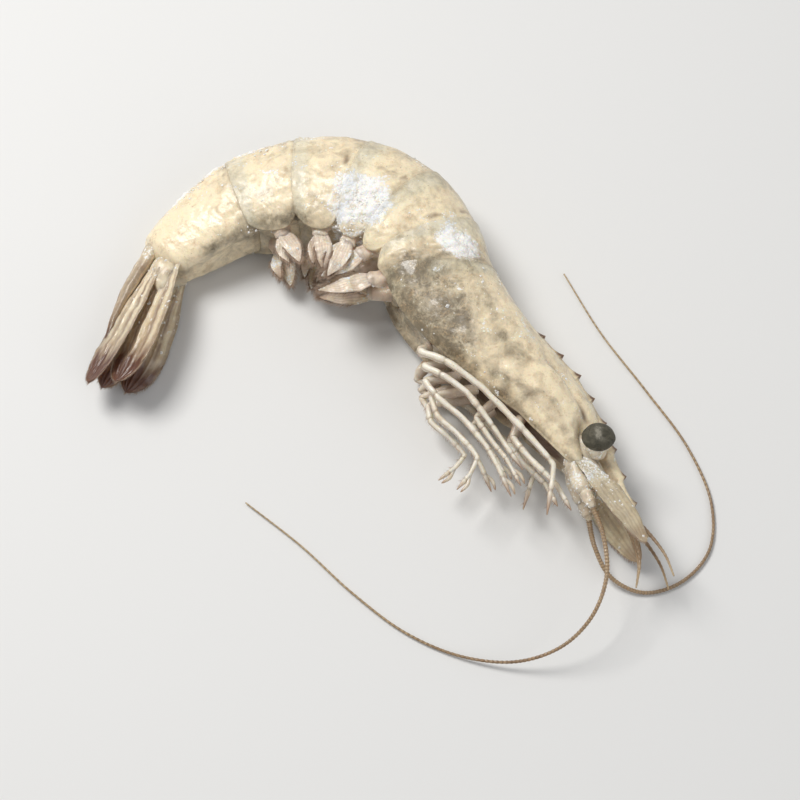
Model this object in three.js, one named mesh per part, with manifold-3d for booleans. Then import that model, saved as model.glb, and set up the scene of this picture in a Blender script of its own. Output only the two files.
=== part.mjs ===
// Raw whiteleg shrimp, whole, lying on its left side with its body curled.
// Millimetres, +Z up. The shrimp's right side faces up and the floor is z = 0.
// Body space: s runs along the midline from the carapace's rear edge (0) towards the tail, d is the
// offset towards the back and r the offset towards the shrimp's right.
// Appendages are drawn in frames with +X to the head, +Y to the back and +Z to the right.

import * as THREE from "three";
import { mergeVertices } from "three/addons/utils/BufferGeometryUtils.js";
import Module from "manifold-3d";

const wasm = await Module();
wasm.setup();

// ---------------------------------------------------------------------------------------------
// Driving dimensions of the body

const GAP = 0.4; // clearance between neighbouring pieces
const HEAD_HEADING = 127; // degrees from +X, of the midline on its way from the head to the tail
const BEND_SPREAD = 10; // length of midline over which each joint's bend is spread
const SPINE = { from: -70, to: 100, step: 0.25 };

// The six abdominal rings: midline length, and degrees turned at the joint in front of each.
const RINGS = [
  { length: 8.8, bend: -17 },
  { length: 8.0, bend: 15 },
  { length: 8.9, bend: 27 },
  { length: 9.8, bend: 23 },
  { length: 10.3, bend: 19 },
  { length: 15.8, bend: 20 },
];
const TAIL_BEND = 30;
const ABDOMEN_LENGTH = RINGS.reduce((sum, ring) => sum + ring.length, 0);

// The body's outline at stations along the midline: extent above and below it, half the width,
// and the height of the midline over the floor.
const STATIONS = [
  { s: -41, up: 3.8, down: 2.6, half: 3.1, height: 8.5 },
  { s: -37, up: 5.6, down: 3.7, half: 4.7, height: 8.5 },
  { s: -29, up: 7.5, down: 5.2, half: 6.7, height: 8.5 },
  { s: -20, up: 8.0, down: 7.2, half: 8.2, height: 8.5 },
  { s: -11, up: 8.4, down: 9.8, half: 8.8, height: 8.5 },
  { s: -3, up: 9.3, down: 11.0, half: 8.9, height: 8.65 },
  { s: 5, up: 10.1, down: 10.6, half: 8.9, height: 8.8 },
  { s: 16, up: 10.8, down: 10.6, half: 8.8, height: 8.7 },
  { s: 27, up: 10.8, down: 10.4, half: 8.4, height: 8.4 },
  { s: 38, up: 9.9, down: 9.2, half: 7.6, height: 7.6 },
  { s: 48, up: 8.6, down: 7.6, half: 6.4, height: 6.5 },
  { s: 57, up: 7.0, down: 6.0, half: 5.1, height: 5.3 },
  { s: 62.5, up: 5.5, down: 4.8, half: 4.3, height: 4.6 },
  { s: 86, up: 4.8, down: 4.2, half: 3.8, height: 4.4 },
];

const BODY_SIDES = { carapace: 32, ring: 26 };
const SHELL = { lip: 0.55, flare: 0.45, overlap: 1.8, nose: 1.7 }; // each rim covers the next nose
const CARAPACE = { front: -40, orbit: 4.6, lobe: 4.6, notch: 2.6, grooveDepth: 0.5 };

const ROSTRUM = {
  root: 13, // where the crest leaves the carapace's back
  orbit: 36,
  tip: 56,
  tipHeight: 0.6,
  thickness: 1.7,
  depth: 3.6, // of the blade at the orbit
  teethAbove: 8,
  teethBelow: 2,
  toothHeight: 0.95,
};

const COLOURS = {
  shell: 0xcfc3a4,
  limb: 0xd8c5a6,
  eye: 0x2b2a26,
  feeler: 0x8f5a40,
  scale: 0xc4b492,
  tail: 0x9a7f5e,
  swimmeret: 0xd6bfa6,
};

const SIDES = [
  { side: "right", sign: 1 },
  { side: "left", sign: -1 },
];

// ---------------------------------------------------------------------------------------------
// Body space

const { degToRad, radToDeg, clamp } = THREE.MathUtils;
const smooth = (t) => t * t * (3 - 2 * t);
const ramp = (x, low, high) => smooth(clamp((x - low) / (high - low), 0, 1));
const bell = (x, centre, width) => Math.exp(-(((x - centre) / width) ** 2));

/** Where each ring starts on the midline, and where the last one ends. */
const ringStarts = RINGS.reduce((starts, ring) => [...starts, starts.at(-1) + ring.length], [0]);

/** Heading of the midline at s, in radians from +X, towards the tail. */
function heading(s) {
  const bends = [...RINGS.map((ring) => ring.bend), TAIL_BEND];
  const turned = bends.map((bend, i) => {
    const joint = ringStarts[i];
    return bend * ramp(s, joint - BEND_SPREAD / 2, joint + BEND_SPREAD / 2);
  });
  return degToRad(turned.reduce((sum, bend) => sum + bend, HEAD_HEADING));
}

/** The midline as a table of points, found by stepping along the heading both ways from s = 0. */
function traceSpine() {
  const table = new Map([[0, new THREE.Vector2(0, 0)]]);
  for (const [direction, length] of [[-1, -SPINE.from], [1, SPINE.to]]) {
    const at = new THREE.Vector2(0, 0);
    for (let i = 1; i <= length / SPINE.step; i++) {
      const angle = heading(direction * (i - 0.5) * SPINE.step);
      at.x += direction * Math.cos(angle) * SPINE.step;
      at.y += direction * Math.sin(angle) * SPINE.step;
      table.set(direction * i, at.clone());
    }
  }
  return table;
}
const spine = traceSpine();

/** The midline's point at s, seen from above. */
function midline(s) {
  const index = Math.floor(s / SPINE.step);
  return spine.get(index).clone().lerp(spine.get(index + 1), s / SPINE.step - index);
}

/** One of the stations' columns at s, as a smooth curve through the stations. */
function profile(column, s) {
  const last = STATIONS.length - 1;
  const found = STATIONS.findIndex((station) => station.s > s);
  const i = found === -1 ? last : Math.max(found, 1);
  const [a, b, c, e] = [i - 2, i - 1, i, i + 1].map((k) => STATIONS[clamp(k, 0, last)]);
  const span = c.s - b.s;
  const t = clamp((s - b.s) / span, 0, 1);
  const slopeIn = ((c[column] - a[column]) / (c.s - a.s)) * span;
  const slopeOut = ((e[column] - b[column]) / (e.s - b.s)) * span;
  return (
    b[column] * (2 * t ** 3 - 3 * t ** 2 + 1) +
    slopeIn * (t ** 3 - 2 * t ** 2 + t) +
    c[column] * (3 * t ** 2 - 2 * t ** 3) +
    slopeOut * (t ** 3 - t ** 2)
  );
}

/** The point at s on the midline, moved by d towards the back and by r to the right. */
function place(s, d, r) {
  const at = midline(s);
  const angle = heading(s);
  const x = at.x + d * Math.sin(angle);
  const y = at.y - d * Math.cos(angle);
  return new THREE.Vector3(x, y, profile("height", s) + r);
}

/** How far a ring's side plates stand out at s: not at all at the joints. */
function plateSwell(s) {
  const i = ringStarts.findIndex((start) => start > s);
  if (i < 1) return 0;
  const share = (s - ringStarts[i - 1]) / RINGS[i - 1].length;
  return Math.sin(Math.PI * share) ** 1.5 * ramp(i, 6.5, 5);
}

/** Depth of the furrow that runs over the carapace behind the head's cheeks. */
function groove(s, degrees) {
  const line = -25 + 7 * ramp(degrees, 20, 95) - 9 * ramp(degrees, 95, 150);
  return CARAPACE.grooveDepth * bell(s, line, 2.2) * ramp(degrees, 12, 32);
}

/** The body's surface at s and angle (0 at the back, +90 degrees at the right), as [d, r]. */
function section(s, angle, offset) {
  const cos = Math.cos(angle);
  const sin = Math.sin(angle);
  const degrees = Math.abs(radToDeg(angle));
  const power = cos > 0 ? 0.92 : 0.78;
  const depth = cos > 0 ? profile("up", s) : profile("down", s);
  const belly = 1 - 0.22 * bell(degrees, 180, 28);
  const plates = 1 + 0.1 * plateSwell(s) * bell(degrees, 142, 24);
  const d = Math.sign(cos) * Math.abs(cos) ** power * depth * belly * plates;
  const r = Math.sign(sin) * Math.abs(sin) ** power * profile("half", s) * plates;
  const keel = 0.45 * ramp(s, 30, 45) * bell(degrees, 0, 10);
  const stretch = 1 + (offset + keel - groove(s, degrees)) / Math.hypot(d, r);
  return [d * stretch, r * stretch];
}

/** Edges aren't straight: rims reach furthest back on the flanks, and the face is cut at the eyes. */
function edgeShift(s, angle) {
  const degrees = Math.abs(radToDeg(angle));
  const carapace = CARAPACE.lobe * bell(degrees, 122, 46) - CARAPACE.notch * bell(degrees, 0, 50);
  const orbit = CARAPACE.orbit * bell(degrees, 58, 30) * bell(s, CARAPACE.front, 5);
  const ring = 1.1 * bell(degrees, 115, 42) - 0.5 * bell(degrees, 0, 40);
  return orbit + carapace * bell(s, 0, 6.5) + ring * ramp(s, 4, 12) * ramp(s, 66, 56);
}

// ---------------------------------------------------------------------------------------------
// Making shapes

/**
 * A turned shell bent round the body. The outline's points are [s, offset]: offset is measured
 * outwards from the body's surface, and null stands for the midline.
 */
function bodyShell(outline, sides) {
  const rows = outline.toReversed();
  const points = rows.map(([, offset], i) => new THREE.Vector2(offset === null ? 0 : 1, i));
  const geometry = new THREE.LatheGeometry(points, sides);
  const position = geometry.getAttribute("position");
  for (let i = 0; i < position.count; i++) {
    const [s, offset] = rows[Math.round(position.getY(i))];
    const angle = Math.atan2(position.getX(i), position.getZ(i));
    const onMidline = offset === null;
    const [d, r] = onMidline ? [0, 0] : section(s, angle, offset);
    const bent = place(onMidline ? s : s + edgeShift(s, angle), d, r);
    position.setXYZ(i, bent.x, bent.y, bent.z);
  }
  return geometry;
}

/**
 * A limb, feeler or blade: a cylinder bent along a smooth path. size(t) gives its half width and
 * half thickness, and across is the direction of its width.
 */
function limb({ path, size, across = [0, 0, 1], sides = 6, steps = 14 }, grown) {
  const curve = new THREE.CatmullRomCurve3(path.map((p) => new THREE.Vector3(...p)));
  const geometry = new THREE.CylinderGeometry(1, 1, 1, sides, steps);
  const position = geometry.getAttribute("position");
  const wide = new THREE.Vector3(...across).normalize();
  for (let i = 0; i < position.count; i++) {
    const t = clamp(0.5 - position.getY(i), 0, 1);
    const tangent = curve.getTangent(t);
    const thick = new THREE.Vector3().crossVectors(tangent, wide).normalize();
    const level = new THREE.Vector3().crossVectors(thick, tangent).normalize();
    const [width, thickness] = size(t);
    const atEnd = t < 0.001 ? -1 : t > 0.999 ? 1 : 0;
    const at = curve
      .getPoint(t)
      .addScaledVector(level, (width + grown) * position.getX(i))
      .addScaledVector(thick, (thickness + grown) * position.getZ(i))
      .addScaledVector(tangent, grown * atEnd);
    position.setXYZ(i, at.x, at.y, at.z);
  }
  return geometry;
}

/** Half sizes given at a few places along a limb, joined by straight tapers. */
const tapers = (rows) => (t) => {
  const i = Math.max(1, rows.findIndex(([at]) => at >= t));
  const [from, to] = [rows[i - 1], rows[i]];
  const share = (t - from[0]) / (to[0] - from[0]);
  return [1, 2].map((k) => from[k] + (to[k] - from[k]) * share);
};

/** Half sizes of a leaf: it widens from its root and is rounded at its tip. */
const leaf = (width, thickness, root) => (t) => {
  const swell = Math.max(root * (1 - 1.5 * t), Math.sin(Math.PI * t ** 0.8) ** 0.55, 0.12);
  return [width * swell, thickness * (1 - 0.5 * t)];
};

const asSolid = (geometry) => {
  const bare = geometry.clone();
  bare.deleteAttribute("normal");
  bare.deleteAttribute("uv");
  const merged = mergeVertices(bare, 1e-4);
  return new wasm.Manifold(
    new wasm.Mesh({
      numProp: 3,
      vertProperties: new Float32Array(merged.getAttribute("position").array),
      triVerts: new Uint32Array(merged.index.array),
    }),
  );
};

const asGeometry = (solid) => {
  const mesh = solid.getMesh();
  const geometry = new THREE.BufferGeometry();
  geometry.setAttribute("position", new THREE.BufferAttribute(mesh.vertProperties, 3));
  geometry.setIndex(new THREE.BufferAttribute(mesh.triVerts, 1));
  geometry.computeVertexNormals();
  return geometry;
};

/** The largest body of a solid, without the scraps that a cut leaves. */
const largest = (solid) =>
  solid.decompose().reduce((best, body) => (body.volume() > best.volume() ? body : best));

const union = (solids) => solids.reduce((sum, solid) => sum.add(solid));

const touches = (a, b) =>
  [0, 1, 2].every((k) => a.min[k] <= b.max[k] && b.min[k] <= a.max[k]);

const root = new THREE.Group();
const floorBlock = asSolid(new THREE.BoxGeometry(400, 400, 20).translate(0, 0, -10));
const placed = []; // a copy of every piece so far, grown by the gap

/**
 * Adds a named piece to a frame. shapes(grown) gives the geometries that make it up, in the
 * frame's space and grown outwards; it is cut clear of the floor and of what is already there.
 */
function addPiece(name, shapes, colour, frame = root, roughness = 0.5) {
  const solidOf = (grown) =>
    union(shapes(grown).map((shape) => asSolid(shape.clone().applyMatrix4(frame.matrix))));
  const whole = solidOf(0);
  const cutters = placed.filter((other) => touches(whole.boundingBox(), other.boundingBox()));
  const cut = [floorBlock, ...cutters].reduce((rest, cutter) => rest.subtract(cutter), whole);
  const geometry = asGeometry(largest(cut)).applyMatrix4(frame.matrix.clone().invert());
  const material = new THREE.MeshStandardMaterial({ color: colour, roughness, metalness: 0 });
  const mesh = new THREE.Mesh(geometry, material);
  mesh.name = name;
  frame.add(mesh);
  placed.push(solidOf(GAP));
}

/** A frame on the body with its origin on the midline, `ahead` of s along a straight line. */
function addFrame(s, ahead = 0) {
  const frame = new THREE.Group();
  const at = midline(s);
  const angle = heading(s);
  frame.position.set(at.x - ahead * Math.cos(angle), at.y - ahead * Math.sin(angle), 0);
  frame.position.z = profile("height", s);
  frame.rotation.z = angle + Math.PI;
  frame.updateMatrix();
  root.add(frame);
  return frame;
}

// ---------------------------------------------------------------------------------------------
// Carapace and rostrum

// Frames take their lie from where the midline is straight, clear of the bend at the joint.
const head = addFrame(-BEND_SPREAD, -BEND_SPREAD);

/** From the face to the rim and the socket for the first ring. */
function carapaceOutline(grown) {
  const front = CARAPACE.front - grown;
  const rows = [-38.4, -35.4, -32.2, -29, -26, -23.5, -21, -18, -14.5, -11, -7, -3.4];
  const socket = -SHELL.overlap - 2 * GAP + grown;
  return [
    [front, null],
    [front, -1.0 + grown],
    ...rows.map((s) => [s, grown]),
    [-1.0, 0.2 + grown],
    [grown, SHELL.flare + grown],
    [grown, SHELL.flare - SHELL.lip - grown],
    [socket, SHELL.flare - SHELL.lip - grown],
    [socket, null],
  ];
}

/** The toothed blade over the eyes, as an extruded outline in the head's frame. */
function rostrumBlade(grown) {
  const { root: start, orbit, tip, tipHeight, toothHeight, teethAbove, teethBelow } = ROSTRUM;
  const leaves = orbit - 7;
  const crest = (f) => {
    const back = profile("up", -Math.min(f, leaves)) - 0.2;
    return THREE.MathUtils.lerp(back, tipHeight, ramp(f, leaves - 4, tip + 4)) + 0.5 * bell(f, 28, 9);
  };
  const keel = (f) => crest(f) - ROSTRUM.depth * (1 - 0.8 * ramp(f, orbit - 2, tip));
  const outline = new THREE.Shape();
  outline.moveTo(start - 3, crest(start) - 2);
  const pitch = (tip - 5 - start) / teethAbove;
  for (let i = 0; i < teethAbove; i++) {
    const foot = start + i * pitch;
    outline.lineTo(foot, crest(foot));
    outline.lineTo(foot + 0.74 * pitch, crest(foot + 0.74 * pitch) + toothHeight);
    outline.lineTo(foot + 0.86 * pitch, crest(foot + 0.86 * pitch));
  }
  outline.lineTo(tip, crest(tip) - 0.1);
  for (let i = 0; i < teethBelow; i++) {
    const foot = tip - 5 - i * 3.6;
    outline.lineTo(foot + 1.6, keel(foot + 1.6));
    outline.lineTo(foot + 1.2, keel(foot) - 0.6);
    outline.lineTo(foot - 0.4, keel(foot - 0.4));
  }
  outline.lineTo(orbit, keel(orbit));
  outline.lineTo(orbit - 6, 2);
  outline.lineTo(start, 4);
  const bevel = 0.4;
  const blade = new THREE.ExtrudeGeometry(outline, {
    depth: ROSTRUM.thickness - 2 * bevel,
    bevelEnabled: true,
    bevelThickness: bevel + grown,
    bevelSize: 0.3 + grown,
    bevelOffset: -0.3,
    bevelSegments: 1,
  });
  return blade.translate(0, 0, bevel - ROSTRUM.thickness / 2);
}

addPiece(
  "carapace",
  (grown) => [
    bodyShell(carapaceOutline(grown), BODY_SIDES.carapace),
    rostrumBlade(grown).applyMatrix4(head.matrix),
  ],
  COLOURS.shell,
);

// ---------------------------------------------------------------------------------------------
// Abdominal rings

/** A ring from its nose, under the shell in front, to its rear rim and the socket behind. */
function ringOutline(index, grown) {
  const from = ringStarts[index];
  const to = ringStarts[index + 1];
  const nose = from - SHELL.nose;
  const plate = [0.16, 0.38, 0.62, 0.84].map((share) => [
    from + share * (to - from),
    -0.25 + 0.35 * share + grown,
  ]);
  const isLast = index === RINGS.length - 1;
  const inner = SHELL.flare - SHELL.lip - grown;
  const socket = to - SHELL.overlap - GAP + grown;
  const rear = isLast
    ? [[to - 0.5, 0.1 + grown], [to + 0.5 + grown, -1.2 + grown], [to + 0.5 + grown, null]]
    : [[to + grown, SHELL.flare + grown], [to + grown, inner], [socket, inner], [socket, null]];
  return [
    [nose - grown, null],
    [nose - grown, -1.1 + grown],
    [nose + 0.8, -SHELL.lip + grown],
    [from + 0.5, -0.42 + grown],
    ...plate,
    ...rear,
  ];
}

/** The rings fit into one another's sockets, so they need no cutting clear. */
RINGS.forEach((ring, i) => {
  const before = placed.splice(0);
  addPiece(
    `abdomen_ring_${i + 1}`,
    (grown) => [bodyShell(ringOutline(i, grown), BODY_SIDES.ring)],
    COLOURS.shell,
  );
  placed.unshift(...before);
});

// ---------------------------------------------------------------------------------------------
// Head appendages

const CORNEA_RADIUS = 2.75;
for (const { side, sign } of SIDES) {
  const shapes = (grown) => [
    new THREE.SphereGeometry(CORNEA_RADIUS + grown, 12, 8)
      .scale(1, 0.95, 0.92)
      .translate(38.6, 3.4, 5.2 * sign),
    limb(
      {
        path: [[39.6, 1.6, 1.6 * sign], [39.4, 2.4, 3.0 * sign], [38.9, 3.0, 4.4 * sign]],
        size: tapers([[0, 1.2, 1.2], [0.5, 1.3, 1.3], [1, 1.9, 1.9]]),
        sides: 8,
        steps: 3,
      },
      grown,
    ),
  ];
  addPiece(`eye_${side}`, shapes, COLOURS.eye, head, 0.25);
}

for (const { side, sign } of SIDES) {
  const shapes = (grown) => [
    limb(
      {
        path: [
          [41.0, -0.6, 3.0 * sign],
          [46, -0.9, 4.3 * sign],
          [51, -1.3, 5.0 * sign],
          [57.5, -2.0, 5.2 * sign],
        ],
        size: leaf(2.9, 0.55, 0.6),
        across: [0, -0.8, 0.6 * sign],
        sides: 8,
        steps: 9,
      },
      grown,
    ),
  ];
  addPiece(`antennal_scale_${side}`, shapes, COLOURS.scale, head);
}

for (const { side, sign } of SIDES) {
  const whip = { size: tapers([[0, 0.45, 0.45], [1, 0.22, 0.22]]), sides: 5, steps: 7 };
  const shapes = (grown) => [
    limb(
      {
        path: [[40.9, 0.4, 1.25 * sign], [46, 0.2, 1.4 * sign], [51.5, -0.3, 1.6 * sign]],
        size: tapers([[0, 1.0, 0.9], [0.44, 1.05, 0.95], [0.52, 0.85, 0.8], [1, 0.6, 0.6]]),
        sides: 7,
        steps: 6,
      },
      grown,
    ),
    limb(
      {
        ...whip,
        path: [
          [50.9, -0.1, 1.6 * sign],
          [55.5, 0.2, 2.3 * sign],
          [60.5, -0.2, 3.1 * sign],
          [64.5, -1.6, 3.8 * sign],
        ],
      },
      grown,
    ),
    limb(
      {
        ...whip,
        path: [
          [50.9, -0.5, 1.6 * sign],
          [54.5, -1.6, 1.4 * sign],
          [58.5, -3.6, 1.1 * sign],
          [61.5, -6.6, 0.7 * sign],
        ],
      },
      grown,
    ),
  ];
  addPiece(`antennule_${side}`, shapes, COLOURS.feeler, head);
}

// Routes of the two long feelers, from the foot of each to its broken end on the floor.
const FEELERS = {
  right: [
    [46.5, -4.4, 3.2], [52, -6.4, 3.6], [57.5, -10, 2.6], [61, -15.5, 0.2], [61.5, -22, -3.2],
    [58.5, -29, -6.2], [52, -35.5, -7.7], [43, -40.5, -8.0], [32, -43.5, -8.0], [20, -45.5, -8.0],
    [8, -48.5, -8.0],
  ],
  left: [
    [46.5, -4.5, -3.1], [51, -6.6, -4.4], [56.5, -7.2, -6.6], [61.6, -4.2, -7.9], [64, 2.0, -8.0],
    [62.6, 9.4, -8.0], [56.4, 15.2, -8.0], [46, 18.6, -8.0], [33, 19.6, -8.0], [20, 20.2, -8.0],
    [7, 22.2, -8.0],
  ],
};
for (const { side, sign } of SIDES) {
  const shapes = (grown) => [
    limb(
      {
        path: [[40.8, -2.8, 2.1 * sign], [43.6, -3.7, 2.7 * sign], [47.2, -4.6, 3.3 * sign]],
        size: tapers([[0, 1.4, 1.4], [0.5, 1.5, 1.5], [0.85, 1.05, 1.05], [1, 0.65, 0.65]]),
        sides: 7,
        steps: 5,
      },
      grown,
    ),
    limb(
      {
        path: FEELERS[side],
        size: tapers([[0, 0.55, 0.55], [0.25, 0.42, 0.42], [1, 0.24, 0.24]]),
        sides: 5,
        steps: 36,
      },
      grown,
    ),
  ];
  addPiece(`antenna_${side}`, shapes, COLOURS.feeler, head);
}

// ---------------------------------------------------------------------------------------------
// Mouth legs and walking legs

// Each limb on the right from its root to its tip. The left ones are their mirror image.
const MOUTH_LEG = [[27, -4.0, 1.8], [29, -7.2, 2.2], [34, -7.3, 2.2], [40, -6.6, 2.0], [45, -7.4, 1.8]];
const WALKING_LEGS = [
  [[22, -5.6, 2.0], [22.5, -10.0, 2.4], [27, -10.4, 2.0], [31.5, -10.4, 1.8], [36.5, -11.4, 1.7]],
  [
    [18.4, -6.6, 2.2], [15.0, -13.8, 2.6], [18.4, -15.2, 2.8], [23, -14.4, 2.6],
    [28.2, -14.2, 2.2], [29.8, -17.0, 2.0], [30.6, -20.4, 1.8],
  ],
  [
    [14.8, -7.8, 2.6], [12.6, -13.4, 4.4], [16.5, -13.6, 4.8], [22, -12.4, 4.4], [28, -12.2, 3.8],
    [32, -12.8, 3.4], [37.3, -14.2, 3.0],
  ],
  [
    [11.4, -8.8, 3.0], [10.9, -12.2, 5.8], [14.6, -10.8, 6.6], [19, -9.5, 6.2], [25, -9.4, 5.2],
    [30, -9.7, 4.4], [35, -9.9, 3.8],
  ],
  [
    [7.8, -9.4, 3.4], [8.6, -11.4, 6.8], [13, -9.3, 8.0], [20, -7.2, 7.2], [30, -6.0, 6.0],
    [37.6, -5.6, 5.0], [40.0, -7.8, 4.4], [43.6, -11.6, 3.6],
  ],
];
const CLAWED_PAIRS = 3; // these end in small pincers

/** Half thickness along a leg from its hip, for one of unit half thickness in the middle. */
const LEG_TAPER = [
  [0, 1.3], [0.1, 1.15], [0.42, 1.0], [0.5, 1.15], [0.57, 0.88], [0.82, 0.8], [0.9, 0.86], [1, 0.26],
];
const HIP_TAPER = [[0, 2.2], [0.6, 1.9], [1, 1.35]];

/** A leg: its hip, its shaft and, beside its tip, a pincer's second finger where it has one. */
function legShapes(path, half, clawed, grown) {
  const sized = (rows) => tapers(rows.map(([t, swell]) => [t, swell * half, swell * half]));
  const hip = limb({ path: path.slice(0, 2), size: sized(HIP_TAPER), steps: 2 }, grown);
  const shaft = limb({ path: path.slice(1), size: sized(LEG_TAPER), steps: 11 }, grown);
  if (!clawed) return [hip, shaft];
  const [knee, tip] = path.slice(-2).map((p) => new THREE.Vector3(...p));
  const along = tip.clone().sub(knee).normalize();
  const aside = new THREE.Vector3(-along.y, along.x, 0);
  const beside = (back, out) =>
    tip.clone().addScaledVector(along, -back).addScaledVector(aside, out).toArray();
  const finger = limb(
    {
      path: [beside(3.2, 0.1), beside(1.7, 0.95), beside(0, 1.15)],
      size: tapers([[0, 0.34, 0.34], [0.5, 0.34, 0.34], [1, 0.15, 0.15]]),
      sides: 4,
      steps: 2,
    },
    grown,
  );
  return [hip, shaft, finger];
}

/** The left limbs lie a little further back than the right ones. */
const onSide = (path, sign) =>
  sign > 0 ? path : path.map(([f, d, r], i) => [f - 0.7 * i, d - 0.1 * i, -Math.min(r, 6.4)]);

for (const { side, sign } of SIDES) {
  const mouthLeg = onSide(MOUTH_LEG, sign);
  addPiece(
    `maxilliped_${side}`,
    (grown) => legShapes(mouthLeg, 0.72, false, grown),
    COLOURS.limb,
    head,
  );
  WALKING_LEGS.forEach((route, i) => {
    const path = onSide(route, sign);
    addPiece(
      `walking_leg_${side}_${i + 1}`,
      (grown) => legShapes(path, 0.62 + 0.03 * i, i < CLAWED_PAIRS, grown),
      COLOURS.limb,
      head,
    );
  });
}

// ---------------------------------------------------------------------------------------------
// Swimmerets: a stout stem and a leaf on each side under the first five rings

const SWIMMERETS = [
  { length: 11.5, lean: 8 },
  { length: 10.0, lean: 4 },
  { length: 9.5, lean: 0 },
  { length: 8.5, lean: -4 },
  { length: 8.0, lean: -10 },
];
SWIMMERETS.forEach(({ length, lean }, i) => {
  const s = ringStarts[i] + 0.5 * RINGS[i].length;
  const frame = addFrame(s);
  for (const { side, sign } of SIDES) {
    const angle = degToRad(sign > 0 ? lean : lean + 12);
    const down = new THREE.Vector3(-Math.sin(angle), -Math.cos(angle), 0);
    const hip = new THREE.Vector3(0, -0.6 * profile("down", s), sign * 0.36 * profile("half", s));
    const at = (distance, outwards) => {
      const point = hip.clone().addScaledVector(down, distance);
      return [point.x, point.y, point.z + sign * outwards];
    };
    const spread = sign > 0 ? 1 : 0.4;
    const stem = {
      path: [
        at(0, 0),
        at(0.3 * length, 0.7 * spread),
        at(0.65 * length, 1.4 * spread),
        at(1.1 * length, 1.2 * spread),
      ],
      size: tapers([[0, 1.8, 1.5], [0.3, 1.7, 1.2], [0.45, 1.4, 0.9], [0.72, 2.3, 0.6], [1, 0.6, 0.3]]),
      across: [down.y, -down.x, 0],
      sides: 8,
      steps: 7,
    };
    addPiece(
      `swimmeret_${side}_${i + 1}`,
      (grown) => [limb(stem, grown)],
      COLOURS.swimmeret,
      frame,
    );
  }
});

// ---------------------------------------------------------------------------------------------
// Tail fan, folded: the telson along the back, and an inner and an outer blade on each side

const tail = addFrame(ABDOMEN_LENGTH + BEND_SPREAD / 2, BEND_SPREAD / 2);
const TELSON = { length: 21, halfWidth: 3.0, halfDepth: 1.4 };
addPiece(
  "telson",
  (grown) => [
    limb(
      {
        path: [[0.5, 2.4, 0], [-7, 2.8, 0], [-14, 2.6, 0], [-TELSON.length, 1.6, 0]],
        size: (t) => [
          TELSON.halfWidth * (1 - t) ** 0.8 + 0.25,
          TELSON.halfDepth * (1 - t) + 0.3,
        ],
        sides: 8,
        steps: 9,
      },
      grown,
    ),
  ],
  COLOURS.tail,
  tail,
);

// Each blade's fold is the angle it hangs down at from lying flat with the telson.
const BLADES = [
  { name: "right_inner", fold: 46, half: 3.0, length: 27.5, root: [0.4, 2.3], end: [0.2, 2.7] },
  { name: "right_outer", fold: 56, half: 3.5, length: 25.5, root: [-2.4, 2.9], end: [-4.2, 3.6] },
  { name: "left_inner", fold: 68, half: 2.9, length: 26, root: [-0.2, -1.6], end: [-1.0, -1.5] },
  { name: "left_outer", fold: 74, half: 3.4, length: 24.5, root: [-2.8, -2.7], end: [-4.8, -2.9] },
];
for (const { name, fold, half, length, root: near, end } of BLADES) {
  const angle = degToRad(fold);
  const side = Math.sign(near[1]);
  const between = near.map((value, k) => 0.6 * value + 0.4 * end[k]);
  const blade = {
    path: [
      [-0.4, ...near],
      [-0.38 * length, ...between],
      [-0.72 * length, ...end],
      [-length, ...end],
    ],
    size: leaf(half, 0.5, 0.5),
    across: [0, -Math.sin(angle), side * Math.cos(angle)],
    sides: 8,
    steps: 9,
  };
  addPiece(`uropod_${name}`, (grown) => [limb(blade, grown)], COLOURS.tail, tail);
}

// ---------------------------------------------------------------------------------------------
// The part's origin is on the floor under the middle of its box

root.updateMatrixWorld(true);
const centre = new THREE.Box3().setFromObject(root, true).getCenter(new THREE.Vector3());
root.position.set(-centre.x, -centre.y, 0);

export default root;
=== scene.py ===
"""Looks of a raw whiteleg shrimp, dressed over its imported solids.

Shapes are worked out in millimetres and become metres as each mesh is made. Body coordinates: s
runs along the midline from the head shield's rear edge towards the tail, the angle runs round the
body from the back (0) over the right side (90 degrees) to the belly (180), and the offset runs
outwards from the skin. Limbs are drawn in frames with +X to the head, +Y to the back and +Z to
the right.
"""

import logging
import math
from collections.abc import Callable, Sequence
from dataclasses import dataclass, field
from enum import Enum

import bpy
import numpy as np
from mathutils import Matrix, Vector


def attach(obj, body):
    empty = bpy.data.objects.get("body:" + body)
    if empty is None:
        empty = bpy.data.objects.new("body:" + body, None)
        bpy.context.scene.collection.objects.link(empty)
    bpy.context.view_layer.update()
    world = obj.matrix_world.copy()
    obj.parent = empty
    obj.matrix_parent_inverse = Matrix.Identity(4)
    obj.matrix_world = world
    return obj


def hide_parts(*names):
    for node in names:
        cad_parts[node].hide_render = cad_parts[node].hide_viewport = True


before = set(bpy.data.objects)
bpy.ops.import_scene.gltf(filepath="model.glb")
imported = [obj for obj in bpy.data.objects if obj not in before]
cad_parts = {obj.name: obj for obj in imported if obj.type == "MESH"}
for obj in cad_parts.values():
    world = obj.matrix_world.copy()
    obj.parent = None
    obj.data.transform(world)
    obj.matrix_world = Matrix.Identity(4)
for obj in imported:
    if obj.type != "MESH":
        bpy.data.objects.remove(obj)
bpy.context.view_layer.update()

LOG = logging.getLogger("shrimp")
MM = 0.001
BODY = "root"
FLOOR_GAP = 0.02  # millimetres that limbs and hairs keep above the floor

Array = np.ndarray
Colour = tuple[float, float, float]
Point = tuple[float, float, float]
Values = dict[str, Array]


class Slot(Enum):
    """The record's material slots."""

    SHELL = "shell"
    EYE = "eye"
    SCALE = "scale"
    FEELER = "feeler"
    LIMB = "limb"
    SWIMMERET = "swimmeret"
    TAIL = "tail"


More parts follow.
